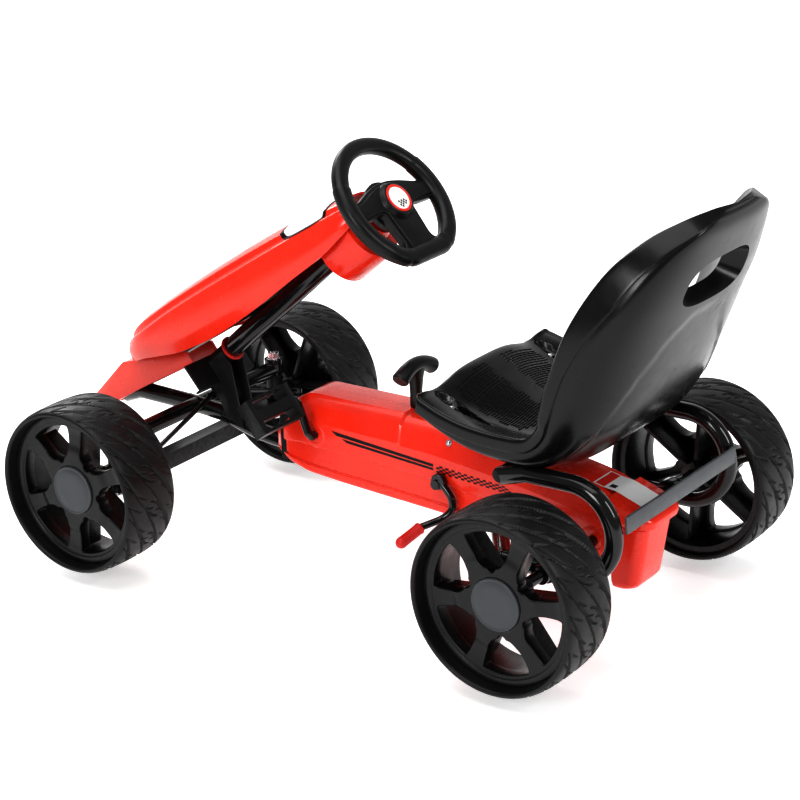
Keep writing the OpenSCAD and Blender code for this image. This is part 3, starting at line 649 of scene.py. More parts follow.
FULL_THICKNESS = 26    # the rim and flange shrink where the seat is thinner than this
SEAT_COLS = 161
RECESS_CENTRE, RECESS_HALF, RECESS_DEPTH = (-212, 121), (43, 9), 9


def seat_frame(t):
    """Row values and the surface's upward direction at parameter t."""
    before, after = spline(SEAT_ROWS, np.clip([t - 0.06, t + 0.06], 0, len(SEAT_ROWS) - 1))[:, :2]
    along = (after - before) / np.linalg.norm(after - before)
    return spline(SEAT_ROWS, t), np.array([along[1], -along[0]])


def seat_dish(row, u):
    """Height of the sitting surface over its centre line at u, from -1 to 1 across the seat."""
    return row[3] * np.abs(u) ** 2.6


def seat_hollow(row, u):
    """How far the thigh hollows sink at u: near the front they lie further out."""
    power = 1.3 + 0.7 * np.clip((row[0] + 235) / 75, 0, 1)
    return row[5] * np.sin(math.pi * np.minimum(np.abs(u), 1) ** power) ** 2


def seat_point(t, u, lift=0.0):
    """Point of the sitting surface, raised by lift."""
    row, up = seat_frame(t)
    h = seat_dish(row, u) + lift
    return np.array([row[0] + h * up[0], row[2] * u, row[1] + h * up[1] - seat_hollow(row, u)])


def seat_ring(t):
    """Closed section of the double wall: sitting surface, rolled rim with its flange, and outer shell."""
    row, up = seat_frame(t)
    x, z, w, side_h, thick, _, square = row
    f = min(1.0, thick / FULL_THICKNESS)
    low = side_h - f * (FLANGE_DROP + FLANGE_GROWTH * np.clip((z - 380) / 110, 0, 1))
    u = np.linspace(-1, 1, SEAT_COLS)
    inner = np.stack([w * u, seat_dish(row, u)], -1)
    rim = through([(w, side_h), (w + 3 * f, side_h + 1.6 * f), (w + 7 * f, side_h + 0.4 * f),
                   (w + RIM_PROUD * f, side_h - 4 * f), (w + RIM_PROUD * f, low + 4.5 * f),
                   (w + 8.4 * f, low + 0.5 * f), (w + 6.4 * f, low)], 22)[1:]
    theta = np.linspace(0, math.pi / 2, 40)
    top = low - f
    outer = np.stack([(w + 5.4 * f) * np.cos(theta) ** square,
                      top - (top + thick) * np.sin(theta) ** square], -1)
    half = np.concatenate([rim, outer])
    across, high = np.concatenate([inner, half, half[::-1][1:] * [-1, 1]]).T
    return np.stack([x + high * up[0], across, z + high * up[1] - seat_hollow(row, across / w)], -1)


def back_step(points):
    """Sets the lower part of the outer back in by a small step under an arched line."""
    x, y, z = points[..., 0], points[..., 1], points[..., 2]
    line = 462 - 165 * (np.abs(y) / 150) ** 2.2
    share = ease(line - z, 0, 3) * np.clip((-355 - x) / 40, 0, 1)
    return points + share[..., None] * (1.8, 0, 0.6)


def bolt_recess(points):
    """Sinks a long narrow recess on each side of the sitting surface, where a seat bolt sits."""
    along = (points[..., 0] - RECESS_CENTRE[0]) / RECESS_HALF[0]
    across = (np.abs(points[..., 1]) - RECESS_CENTRE[1]) / RECESS_HALF[1]
    reach = np.hypot(along, across / (1 + 0.5 * np.clip(along, -1, 1)))
    depth = RECESS_DEPTH * ease(1.1 - reach, 0, 0.25)
    return points - depth[..., None] * (0, 0, 1)


def make_seat():
    """The seat's double wall with its hand hole, bolt recesses and stepped back."""
    rings = np.array([seat_ring(t) for t in np.linspace(0, len(SEAT_ROWS) - 1, 190)])
    rings[:, :SEAT_COLS] = bolt_recess(rings[:, :SEAT_COLS])
    rings[:, SEAT_COLS:] = back_step(rings[:, SEAT_COLS:])
    seat = skin_seat(rings)
    cutter = hand_hole_cutter()
    cut = seat.modifiers.new("cut", "BOOLEAN")
    cut.object = cutter
    cut.solver = "EXACT"
    bpy.context.view_layer.update()
    apply_modifiers(seat)
    bpy.data.objects.remove(cutter)
    shade_smooth(seat)
    smooth_corners(seat, 42)
    return put(seat, "frame", "black_plastic", "seat_shell")


def skin_seat(rings):
    """Closes the seat's rings with fans at both ends."""
    rows, cols = rings.shape[:2]
    points = [*rings.reshape(-1, 3), rings[0].mean(0), rings[-1].mean(0)]
    faces = grid_faces(rows, cols, wrap_cols=True)
    last = (rows - 1) * cols
    for j in range(cols):
        faces.append((j, rows * cols, (j + 1) % cols))
        faces.append((last + j, last + (j + 1) % cols, rows * cols + 1))
    return add_object("seat_shell_look", points, faces, SEAT)


HAND_HOLE = Vector((-514, 0, 508))
HAND_HOLE_AXIS = Vector((0.94, 0, 0.342)).normalized()
HAND_HOLE_HALF = (70, 30)


def hand_hole_cutter():
    """A prism through the back with a rounded outline, which widens to the rear."""
    side = Vector((0, 1, 0))
    up = HAND_HOLE_AXIS.cross(side)
    turn = full_turn(72)
    x = HAND_HOLE_HALF[0] * (1 - 0.10 * np.sin(turn)) * squared(np.cos(turn), 0.62)
    y = HAND_HOLE_HALF[1] * squared(np.sin(turn), 0.75)
    rings = []
    for reach, scale in ((-34, 1.42), (34, 0.62)):
        middle = HAND_HOLE + HAND_HOLE_AXIS * reach
        rings.append([middle + side * (a * scale) + up * (b * scale) for a, b in zip(x, y)])
    return skin("hand_hole", rings, SEAT, flat_cap)


RIB_HALF_L, RIB_HALF_W, RIB_H, RIB_SUNK = 4.7, 0.95, 1.6, 0.3
RIB_FACES = [(0, 2, 3, 1), (2, 4, 5, 3), (4, 6, 7, 5), (0, 1, 7, 6), (0, 6, 4, 2), (1, 3, 5, 7)]


def rib_spots():
    """Places of one pad's ribs, as (x, y): seven columns, shifted by half a step after every fourth row."""
    for row in range(32):
        for col in range(7):
            x = -178 - row * 3.7 - 0.15 * col
            y = 22 + (col + 0.5 * (row // 4 % 2)) * 11
            if -296 + 0.3 * abs(y - 55) <= x <= -172 - 0.12 * y and y <= 94:
                yield x, y


def rib_corners(x, y):
    """Corners of a rib that lies across the sitting surface at (x, y), from its inner to its outer end."""
    t = np.interp(-x, [-row[0] for row in SEAT_ROWS], range(len(SEAT_ROWS)))
    u = y / spline(SEAT_ROWS, t)[2]
    before, after = seat_point(t - 0.03, u), seat_point(t + 0.03, u)
    along = (after - before) / np.linalg.norm(after - before)
    across = seat_point(t, u + 0.01) - seat_point(t, u - 0.01)
    across /= np.linalg.norm(across)
    normal = np.cross(along, across)
    normal *= np.sign(normal[2])
    corners = []
    for end, wide, up in ((-1, 1, 0), (-0.82, 0.6, 1), (0.82, 0.6, 1), (1, 1, 0)):
        row_middle = (before + after) / 2 + across * end * RIB_HALF_L + normal * (up * RIB_H - RIB_SUNK)
        corners += [row_middle - along * s * wide * RIB_HALF_W for s in (-1, 1)]
    return corners


def make_seat_ribs():
    """Raised ribs of the two ribbed pads in the thigh hollows."""
    verts, faces = [], []
    for side in (-1, 1):
        for x, y in rib_spots():
            faces += [tuple(len(verts) + i for i in face) for face in RIB_FACES]
            verts += [corner * (1, side, 1) for corner in rib_corners(x, y)]
    return put(smooth_corners(add_object("seat_ribs", verts, faces, SEAT), 30), "frame", "black_plastic")


def pan_screw(name, place, direction, radius):
    """Pan-head screw with a recess and a washer, standing on place and facing direction."""
    head = turned(name, [(0.01, -2), (radius * 0.95, -2), (radius, 0.4), (radius * 0.96, 1.3),
                         (radius * 0.75, 2.2), (radius * 0.4, 2.7), (radius * 0.3, 2.75),
                         (radius * 0.26, 1.8), (0.01, 1.6)], 32, ZINC, closed=False)
    washer = turned(name + "_washer", [(radius * 0.5, -0.9), (radius * 1.45, -0.9), (radius * 1.5, -0.5),
                                       (radius * 1.45, 0), (radius * 0.5, 0)], 40, ZINC)
    piece = smooth_corners(joined(name, head, washer), 40)
    return moved(piece, pointing(place, direction))


SCREW_ROW, SCREW_SHARE, SCREW_DEPTH = 4.5, 0.766, 7.6    # row parameter, share of the half width, depth


def make_seat_screws():
    """A screw in each of the seat's bolt recesses."""
    for side in (-1, 1):
        spot = seat_point(SCREW_ROW, side * SCREW_SHARE, -SCREW_DEPTH)
        screw = pan_screw("seat_front_screw_" + side_name(side), spot, (0.3, 0, 0.95), 5)
        put(screw, "frame", "steel")


make_seat()
make_seat_ribs()
make_seat_screws()


# ---------- nose fairing ----------

FAIRING_START = (472, 232)
FAIRING_TILT = math.radians(32.9)
FAIRING_WALL = 3
FILM = 0.25    # thickness of the printed films
# Each row: distance along the fairing, half width, lower edge, shoulder, crest
FAIRING_ROWS = [(9, 12, -8, 0, 4), (12, 27, -10, 6, 12), (20, 41, -12, 12, 17), (34, 53, -14, 15, 23),
                (48, 60, -16, 17, 34), (70, 67, -20, 18, 40), (105, 73.5, -29, 19, 42),
                (160, 79, -42, 20, 43), (240, 81, -49, 19, 43), (330, 79, -46, 17, 41),
                (410, 73, -38, 15, 37), (470, 64, -32, 13, 32), (510, 54, -22, 11, 27),
                (528, 46, -16, 10, 23)]
# The section's points as shares of the half width and of the rise from edge to shoulder, then to the crest
FAIRING_SIDE = [(0.985, 0), (1.0, 0.10), (1.02, 0.35), (0.985, 0.66)]
FAIRING_PANEL = [(0.74, 0.10), (0.70, 0.18), (0.665, 0.42), (0.63, 0.56), (0.44, 0.78), (0.22, 0.95), (0, 1)]


def fairing_place(q, y, n):
    """Point of the fairing from its distance along, distance across and height over its axis."""
    c, s = math.cos(FAIRING_TILT), math.sin(FAIRING_TILT)
    return np.stack([FAIRING_START[0] - q * c + n * s, y, FAIRING_START[1] + q * s + n * c], -1)


def fairing_half(row):
    """Section from the lower edge up over the shoulder and the raised panel's edge to the crest."""
    _, w, edge, shoulder, crest = row
    side = [(share * w, edge + rise * (shoulder - edge)) for share, rise in FAIRING_SIDE]
    turn = [(0.91 * w, shoulder - 4), (0.865 * w, shoulder - 0.6), (0.82 * w, shoulder + 0.8)]
    return side + turn + [(share * w, shoulder + rise * (crest - shoulder)) for share, rise in FAIRING_PANEL]


def fairing_section(t, s, shrink=0.0):
    """Points at row parameter t and section parameters s in -1..1, from the right lower edge to the left."""
    row = spline(FAIRING_ROWS, t) - np.array([0, 1, 0, 1, 1]) * shrink
    half = np.array(fairing_half(row))
    both = np.concatenate([half * [-1, 1], half[::-1][1:]])
    line = spline(both, (np.asarray(s) + 1) / 2 * (len(both) - 1))
    return fairing_place(np.full(len(line), row[0]), line[:, 0], line[:, 1])


def make_fairing():
    """The fairing's open shell: an outer skin and an inner one."""
    s = np.linspace(-1, 1, 141)
    rings = []
    for t in np.linspace(0, len(FAIRING_ROWS) - 1, 150):
        rings.append(np.concatenate([fairing_section(t, s), fairing_section(t, s[::-1], FAIRING_WALL)]))
    fairing = smooth_corners(skin("fairing_look", rings, RED), 50)
    return put(fairing, "frame", "red_plastic", "fairing")


def make_plate(name, material, start, end, margin, lift):
    """A rounded film on the fairing from row start to end, drawn in by margin and standing off by lift."""
    rows, cols = 56, 90
    verts = []
    for v in np.linspace(-1, 1, rows):
        t = start + (end - start) * (v + 1) / 2
        half = 0.64 * (1 - margin) * (1 - abs(v) ** 3.2) ** (1 / 2.4)
        s = np.linspace(-half, half, cols)
        normal = np.cross(fairing_section(t, s + 0.01) - fairing_section(t, s - 0.01),
                          fairing_section(t + 0.02, s) - fairing_section(t - 0.02, s))
        normal *= np.sign(normal[:, 2:3]) / np.linalg.norm(normal, axis=1)[:, None]
        verts.append(fairing_section(t, s) + normal * lift)
    patch = add_object(name, np.concatenate(verts), grid_faces(rows, cols), material)
    thick = patch.modifiers.new("film", "SOLIDIFY")
    thick.thickness = FILM * MM
    thick.offset = 1
    return put(apply_modifiers(patch), "frame", "red_plastic")


make_fairing()
make_plate("plate_black", INK, 9.95, 11.6, margin=0.0, lift=0.7)
make_plate("plate_white", WHITE, 10.06, 11.5, margin=0.13, lift=1.15)


# ---------- chain case ----------

# Each row: x, deck height, bottom height, half width, half width of the deck, height share of the roof crease
CASE_ROWS = [(192, 164, 150, 16, 5, 1), (188, 172, 147, 25, 9, 1), (180, 186, 143, 34, 15, 1),
             (168, 204, 138, 41, 20, 1), (152, 221, 132, 45, 24, 1), (132, 234, 127, 47, 27, 1),
             (112, 240, 123, 48, 28, 1), (60, 240, 119, 48, 28, 1), (0, 240, 115.5, 48, 28, 1),
             (-46, 240, 113, 48, 28, 1), (-50, 236, 113, 48, 28, 1), (-105, 234, 110, 48, 29, 1),
             (-160, 227, 107, 48, 30, 1), (-215, 219, 103, 48, 31, 1), (-260, 212, 98, 48, 32, 1),
             (-300, 206, 91, 48, 32, 1), (-335, 200, 83, 48, 32, 1), (-365, 193, 78, 48, 32, 0.9),
             (-382, 185, 80, 47.5, 31, 0.7), (-392, 174, 87, 46.5, 30, 0.5), (-398, 160, 97, 45, 28, 0.3),
             (-400, 145, 108, 43, 26, 0.2)]
CASE_WALL = 2.5
CASE_GAP = 0.2    # between each half's edge and the middle of the kart
STRAIGHT_ROWS = (6, 12)
SECTIONS_PER_ROW = 6
COLLAR_OUT = 46.5


def case_row(t):
    """Row values at parameter t: straight from row to row along the deck with its step, smooth elsewhere."""
    if STRAIGHT_ROWS[0] <= t <= STRAIGHT_ROWS[1]:
        return [np.interp(t, range(len(CASE_ROWS)), column) for column in zip(*CASE_ROWS)]
    return spline(CASE_ROWS, t)


def case_half(row):
    """Half section from the deck's middle to the bottom's: crease, step line, panel, groove and flange."""
    _, top, low, w, deck, crease = row
    tall = top - low
    roof = top - 0.10 * tall * crease
    roof_y = deck + 0.66 * (w - deck)
    step = top - 0.31 * tall
    panel = top - 0.62 * tall
    groove_z = low + 0.11 * tall
    inset = w - 0.012 * tall
    return [(0, top), (deck - 1.2, top), (deck - 0.3, top - 0.2), (deck + 0.6, top - 0.9),
            (roof_y - 0.5, roof + 0.6), (roof_y + 0.4, roof - 0.9), (w - 1.1, step + 2.2),
            (w - 0.2, step + 0.5), (w, step - 1.2), (w, panel + 1.5), (w - 0.3, panel + 0.5),
            (inset, panel - 0.8), (inset - 0.1, panel - 2), (inset, groove_z + 3), (inset - 1.2, groove_z + 2),
            (inset - 1.2, groove_z + 1), (w + 0.3, groove_z), (w + 0.4, groove_z - 1.2), (w - 0.6, low + 4),
            (w - 2.4, low + 1.2), (w - 6, low), (0, low)]


def make_case(side):
    """One half shell: an outer skin and an inner one, split along the middle of the kart."""
    rings = []
    for t in np.arange(SECTIONS_PER_ROW * (len(CASE_ROWS) - 1) + 1) / SECTIONS_PER_ROW:
        row = case_row(t)
        x, top, low, w = row[:4]
        outer = np.array(case_half(row))
        inward = np.array([0.35 * w, (top + low) / 2]) - outer
        inner = outer + inward / np.linalg.norm(inward, axis=1)[:, None] * CASE_WALL
        inner[0], inner[-1] = (0, top - CASE_WALL), (0, low + CASE_WALL)
        outer[:, 0] += CASE_GAP
        inner[:, 0] = np.maximum(inner[:, 0], CASE_GAP)
        rings.append([(x, side * y, z) for y, z in np.concatenate([outer, inner[::-1]])])
    name = "case_" + side_name(side)
    case = smooth_corners(skin(name + "_look", rings, RED), 24)
    return put(case, "frame", "red_plastic", name)


# The graphic band along the side, as (x, upper edge, lower edge)
BAND_START, BAND_SPLIT, BAND_END = (70, 197, 183), (-112, 181.5, 170.5), (-246, 172, 162.5)
BAND_OUT = (48.1, 48.4)    # the films' inner and outer face
CORNERS = [(0, 0), (1, 0), (1, 1), (0, 1)]


def band_point(share, level, start, end):
    """Point of the band at a share of the way from start to end and a level between its edges."""
    x, top, low = (a + (b - a) * share for a, b in zip(start, end))
    return x, low + (top - low) * level


def stripe(low, high, first):
    """Outline of a tapering speed stripe between two levels of the band, with a slanted front end."""
    last = 0.97
    upper = [band_point(share, high, BAND_START, BAND_SPLIT) for share in np.linspace(first, last, 12)]
    lower = [band_point(share, low, BAND_START, BAND_SPLIT) for share in np.linspace(last, first + 0.05, 12)]
    return upper + lower


def chequers():
    """Outlines of the squares of a chequered strip of four rows, which ends in a slanted edge."""
    columns, rows = 26, 4
    squares = []
    for i in range(columns):
        for j in range(rows):
            beyond_slant = i > columns - 5 and j > rows - 2 - (i - columns + 4)
            if (i + j) % 2 == 0 and not beyond_slant:
                squares.append([band_point((i + a) / columns, (j + b) / rows, BAND_SPLIT, BAND_END)
                                for a, b in CORNERS])
    return squares


def make_graphics(side):
    """A pair of speed stripes, then a chequered strip, on one side of the case."""
    stripes = [stripe(0.62, 1.0, 0.0), stripe(0.16, 0.46, 0.10)]
    for name, outlines in (("stripes_", stripes), ("chequers_", chequers())):
        films = make_films(name + side_name(side), outlines, *BAND_OUT, INK, lambda x, z, y: (x, side * y, z))
        put(films, "frame", "red_plastic")


def make_case_screws():
    """Screws along the upper edge of both case halves."""
    heads = []
    for x, z, y in ((-131, 216.5, 43.5), (-230, 203, 44.0)):
        for side in (-1, 1):
            heads.append(pan_screw("screw", (x, side * y, z), (0, side * 0.93, 0.36), 3.3))
    return put(joined("case_screws_look", *heads), "frame", "steel", "case_screws")


def make_case_collar(name, x, z, radius, side):
    """Raised round collar where a shaft leaves the case."""
    collar = turned(name + side_name(side), [(radius * 0.62, -3), (radius * 0.62, 1.4), (radius * 0.66, 2.2),
                                             (radius * 0.9, 2.2), (radius, 1.2), (radius * 1.12, 0),
                                             (radius * 1.14, -3)], 72, RED)
    smooth_corners(moved(collar, outboard((x, side * COLLAR_OUT, z), side)), 40)
    return put(collar, "frame", "red_plastic")


for side in (-1, 1):
    make_case(side)
    make_graphics(side)
    make_case_collar("crank_collar_", 100, 185, 19, side)
    make_case_collar("axle_collar_", -364, 125, 22, side)
make_case_screws()


# ---------- tail box ----------

# Rings from the bottom up: height, front x, rear x, half width, corner radius
TAIL_RINGS = [(56.5, -396, -402, 26, 8), (57.5, -390, -410, 33, 12), (61, -388, -419, 37, 16),
              (68, -387, -424, 39, 17), (110, -386, -432, 40.5, 18), (146, -386, -438.5, 42, 18),
              (149, -386, -439, 42, 18), (150, -386, -438, 41, 17), (151.5, -386, -438, 41, 17),
              (152.2, -386, -446, 45.5, 20), (153.5, -386, -448, 46.8, 21), (160, -386, -449.5, 47, 21),
              (163.5, -386, -448.5, 46.2, 20), (166.5, -386, -445, 43.5, 18), (168.5, -386, -438, 39, 16)]
LID_START, LID_REAR = 150, -448
TAIL_SLOPE = 0.36


def lid_rise(x):
    """How much the lid's top stands higher at x than at its rear edge."""
    return (x - LID_REAR) * TAIL_SLOPE


def tail_ring(z, front, rear, half_w, radius):
    """Rectangle in plan from front to rear with round rear corners; the top leans with the lid."""
    corner = polar(radius, np.linspace(math.pi / 2, math.pi, 9)) + (rear + radius, half_w - radius)
    half = np.concatenate([[(front, half_w)], corner])
    lean = max(0.0, z - LID_START) / (TAIL_RINGS[-1][0] - LID_START)
    outline = np.concatenate([half, half[::-1] * (1, -1)])
    return raised(outline, z + lean * lid_rise(outline[:, 0]))


def make_tail_box():
    """The box behind the case with its overhanging lid."""
    box = smooth_corners(skin("tail_box_look", [tail_ring(*ring) for ring in TAIL_RINGS], RED), 35)
    return put(box, "frame", "red_plastic", "tail_box")


def deck_height(x):
    """Height at x of the case's sloping deck and of the tail box's lid behind it."""
    height, lid_front, lid_rear = TAIL_RINGS[-1][:3]
    rows = [row[:2] for row in CASE_ROWS if row[0] > lid_front + 15]
    rows += [(edge, height + lid_rise(edge)) for edge in (lid_front, lid_rear)]
    return np.interp(-x, [-row[0] for row in rows], [row[1] for row in rows])


def make_label(name, front, rear, right, left, lift, material):
    """A film that follows the deck, standing off by lift."""
    across = np.linspace(right, left, 4)
    rings = []
    for x in np.linspace(front, rear, 12):
        z = deck_height(x) + lift
        rings.append([(x, y, z) for y in across] + [(x, y, z + FILM) for y in across[::-1]])
    return put(smooth_corners(skin(name, rings, material), 30), "frame", "red_plastic")


make_tail_box()
make_label("label_sheet", -350, -424, -23, 23, 0.6, WHITE)
make_label("label_heading", -352.5, -366, -21, 21, 0.85, RED_FILM)
make_label("label_mark", -371, -380, 7.5, 16.5, 0.85, INK)


# ---------- steering wheel, built in its own plane: x up and forward, y left, z towards the driver ----------

COLUMN_TILT = math.radians(40.5)
WHEEL_MIDDLE = Vector((-22, 0, 533.5))
COLUMN_UP = Vector((-math.cos(COLUMN_TILT), 0, math.sin(COLUMN_TILT)))
PLANE_UP = Vector((math.sin(COLUMN_TILT), 0, math.cos(COLUMN_TILT)))


def on_column():
    """Places a piece built in the steering wheel's plane."""
    turn = Matrix((PLANE_UP, Vector((0, 1, 0)), COLUMN_UP)).transposed().to_4x4()
    return Matrix.Translation(WHEEL_MIDDLE * MM) @ turn


def rim_path():
    """Middle line of the wheel's rim: a circle cut off by a straight lower edge, with rounded ends."""
    radius, flat = 91.0, 82.0
    end = math.acos(-flat / radius) - 0.10
    arc = polar(radius, np.linspace(-end, end, 150))
    half = math.sqrt(radius ** 2 - flat ** 2)
    turn_in = through([arc[-1], (-flat + 3.2, half + 2.2), (-flat + 0.4, half - 4.5),
                       (-flat, half - 14)], 16)[1:]
    straight = [(-flat, y) for y in np.linspace(half - 14, -half + 14, 12)[1:-1]]
    return np.concatenate([arc, turn_in, straight, turn_in[::-1] * (1, -1)])


def make_wheel_rim():
    """The wheel's rim: thicker over the grips, and thinner along its straight lower edge."""
    path = rim_path()
    turn = full_turn(40)
    across, high = squared(np.cos(turn), 0.85), squared(np.sin(turn), 0.85)
    rings = []
    for point, normal in zip(path, normals(path)):
        size = 10.9 + 1.1 * np.clip((44 - point[0]) / 1.6, 0, 1)
        lower = np.clip((-62 - point[0]) / 10, 0, 1)
        places = point + np.outer(across * (size + 0.9) - 0.4, normal)
        rings.append(raised(places, high * (size - 0.6 - 1.5 * lower)))
    faces = grid_faces(len(rings), len(turn), wrap_rows=True, wrap_cols=True)
    return add_object("wheel_rim", np.concatenate(rings), faces, GRIP)


def mirrored(*lines):
    """Closed outline from the lines of its left half, given from the top down."""
    half = np.concatenate(lines)
    return np.concatenate([half, half[::-1] * (1, -1)])


def spoke_outline():
    """Outline of the three-spoke plate: two arched spokes and a wide lower one."""
    arch = through([(33, 2), (32, 16), (28, 34), (23, 50), (18, 66), (17, 86)], 26)
    under = through([(-12, 86), (-12, 66), (-11.5, 52), (-10, 40), (-13, 33), (-24, 31.4), (-44, 30),
                     (-58, 29.5), (-66, 34), (-70, 46)], 44)
    return mirrored(arch, under, [(-88, 42), (-90, 20)])


def face_outline():
    """Outline of the raised face on the spokes."""
    top = through([(28.5, 2), (27.5, 15), (23.5, 32), (18.5, 48), (13.5, 64), (12.5, 78)], 26)
    low = through([(-7.5, 78), (-7.5, 62), (-7, 48), (-8, 36), (-13, 28.5), (-24, 26.4), (-44, 25),
                   (-58, 24.5), (-72, 24)], 40)
    return mirrored(top, low)


def make_steering_wheel():
    """The wheel in one piece: rim, spokes with a raised face, boss and the hub behind them."""
    boss = turned("boss", [(0.02, 0), (29, 0), (29, 3.4), (27.5, 5.6), (25.6, 8.6), (24.4, 10.2),
                           (23.4, 10.9), (0.02, 10.9)], 96, GRIP, closed=False)
    hub = turned("hub_back", [(9.2, -22), (36, -22), (39, -19), (39.5, -12), (9.2, -12)], 96, GRIP)
    spokes = outline_plate("spokes", spoke_outline(), -13, 0.5, 2.2, GRIP)
    face = outline_plate("face", face_outline(), -4, 3.6, 1.6, GRIP)
    wheel = joined("steering_wheel_look", make_wheel_rim(), spokes, face, boss, hub)
    smooth_corners(moved(wheel, on_column()), 38)
    return put(wheel, "steering", "black_plastic", "steering_wheel")


CHEQUER = 2.8


def badge_chequers():
    """Outlines of the badge's chequered corner."""
    squares = []
    for i in range(6):
        for j in range(4):
            u, y = -14.5 + j * CHEQUER, -10.5 + i * CHEQUER
            is_inside = math.hypot(u, y) <= 15.3 and math.hypot(u + CHEQUER, y + CHEQUER) <= 16.5
            if (i + j) % 2 == 0 and is_inside:
                squares.append([(u + a * CHEQUER, y + b * CHEQUER) for a, b in CORNERS])
    return squares


def make_badge():
    """Round badge: red ring, white face and a small chequered corner."""
    ring = turned("badge_ring", [(17.6, 10.7), (21.5, 10.7), (21.5, 11.5), (20.9, 12), (18.2, 12),
                                 (17.6, 11.5)], 96, RED_FILM)
    face = turned("badge_face", [(0.02, 10.7), (17.7, 10.7), (17.7, 11.4), (0.02, 11.4)], 96, WHITE,
                  closed=False)
    squares = make_films("badge_chequers", badge_chequers(), 11.3, 11.6, INK, lambda u, y, z: (u, y, z))
    badge = joined("badge", ring, face, squares)
    smooth_corners(moved(badge, on_column()), 40)
    return put(badge, "steering", "black_plastic", "wheel_pad")


make_steering_wheel()
make_badge()


# ---------- grips ----------

def shift_bar():
    """The bowed bar of the shift grip, with its ends slightly drawn in."""
    x, top, half, bow = -48, 303, 39, 13.5
    turn = full_turn(28)
    rings = []
    for a in np.linspace(-1, 1, 41):
        size = (10.2 + 2.0 * a * a) * (0.86 if abs(a) > 0.985 else 1.0)
        tilt = math.atan(2 * bow * a / half)
        high = size * np.sin(turn)
        rings.append(np.stack([x + size * 1.05 * np.cos(turn), half * a + high * math.sin(tilt),
                               top - bow * a * a + high * math.cos(tilt)], -1))
    return skin("shift_grip_look", rings, GRIP, flat_cap)


def shift_stem():
    """The tapering stem under the bar, leaning back with the lever."""
    rows = [(238, 6.5, 6.0), (244, 7.5, 7.5), (262, 7.8, 8.0), (283, 8.6, 10.5), (294, 9.0, 14.5),
            (300, 8.4, 17)]
    turn = full_turn(28)
    rings = []
    for z, half_x, half_y in through(rows, 26):
        x = -45 - 3 * (z - 222) / 62
        outline = np.stack([x + half_x * squared(np.cos(turn), 0.7), half_y * squared(np.sin(turn), 0.7)], -1)
        rings.append(raised(outline, z))
    return skin("stem", rings, GRIP, flat_cap)


def make_shift_grip():
    """T-shaped grip: a bowed bar with flat ends over a tapering stem."""
    grip = smooth_corners(joined("shift_grip_look", shift_bar(), shift_stem()), 50)
    return put(grip, "shift", "black_plastic", "shift_grip")


BRAKE_PIVOT = (-120, 54.5, 161)
BRAKE_GRIP_START, BRAKE_GRIP_END = Vector((-113, 92, 104)), Vector((-106, 130, 93))
BRAKE_GRIP_R = 8.0
ROD_R = 5.2
# Shares of the brake grip's length and radius; it has ribs from RIBS_START to RIBS_END
GRIP_RINGS = [(0, 0.82), (0.012, 0.98), (0.03, 1.05), (0.09, 1.05), (0.11, 0.93), (0.86, 0.93), (0.9, 1.02),
              (0.95, 1.02), (1.02, 0.95), (1.08, 0.78), (1.13, 0.5), (1.15, 0.2)]
RIBS_START, RIBS_END = 0.11, 0.86


def make_brake_grip():
    """Red rubber sleeve with lengthwise ribs and a rounded end."""
    along = BRAKE_GRIP_END - BRAKE_GRIP_START
    turn = full_turn(96)
    rings = []
    for k, scale in GRIP_RINGS:
        rib = 0.07 * np.maximum(0, np.sin(12 * turn)) ** 0.5 if RIBS_START <= k <= RIBS_END else 0
        rings.append(raised(polar(BRAKE_GRIP_R * scale * (1 + rib), turn), k * along.length))
    grip = skin("brake_grip_look", rings, RED_RUBBER, flat_cap)
    smooth_corners(moved(grip, pointing(BRAKE_GRIP_START, along)), 45)
    return put(grip, "brake", "red_rubber", "brake_grip")


def make_brake_lever():
    """Round rod: an eye on the pivot bolt, a bow to the rear and down, then out to the grip."""
    path = through([BRAKE_PIVOT, (-131, 55, 153), (-142, 56, 139), (-143, 59, 124), (-133, 68, 113),
                    (-121, 82, 107.5), BRAKE_GRIP_START, (-110, 106, 100)], 70)
    rings = []
    for point, along in zip(path, np.gradient(path, axis=0)):
        along = Vector(along).normalized()
        across = along.cross(Vector((0.3, 0.2, 1))).normalized()
        high = across.cross(along)
        rings.append([Vector(point) + across * a + high * b for a, b in circle(ROD_R, 24)])
    rod = skin("brake_lever_look", rings, TUBE, flat_cap)
    eye = turned("brake_eye", [(4.2, -4), (10.5, -4), (11.2, -3.2), (11.2, 3.2), (10.5, 4), (4.2, 4)],
                 48, TUBE)
    lever = smooth_corners(joined("brake_lever_look", rod, moved(eye, outboard(BRAKE_PIVOT, -1))), 40)
    return put(lever, "brake", "black_paint", "brake_lever")


make_shift_grip()
make_brake_grip()
make_brake_lever()


# ---------- finish of the CAD nodes that are shown ----------

# Material, rounding of the edges and the nodes that have them
DRESS = [
    (TUBE, 0.5, "spine_tube crank rear_loop_left rear_loop_right tie_rod_left tie_rod_right"),
    (TUBE, 0.6, "shift_lever axle_bearings crank_bearings brake_pivot_bolt"),
    (TUBE, 0.8, "steering_shaft rear_axle"),
    (TUBE, 1.0, "support_tube column_tube upper_beam"),
    (PLATE, 0.8, "column_bracket seat_carrier pitman_arm"),
    (PLATE, 1.0, "main_frame knuckle_left knuckle_right"),
    (PLATE, 2.0, "lower_beam"),
    (RED_METAL, 1.0, "nose_bracket"),
    (RED, 3.0, "head_housing"),
    (RED_RUBBER, 0.8, "column_bushes"),
    (GREY, 0.8, "rear_cross_bar"),
    (ZINC, 0.4, "shift_pivot_pin"),
    (ZINC, 0.6, "kingpins seat_bolts"),
    (OILED, 0.4, "chain crank_sprocket axle_sprocket"),
    (GRIP, 0.8, "pedal_left pedal_right"),
]


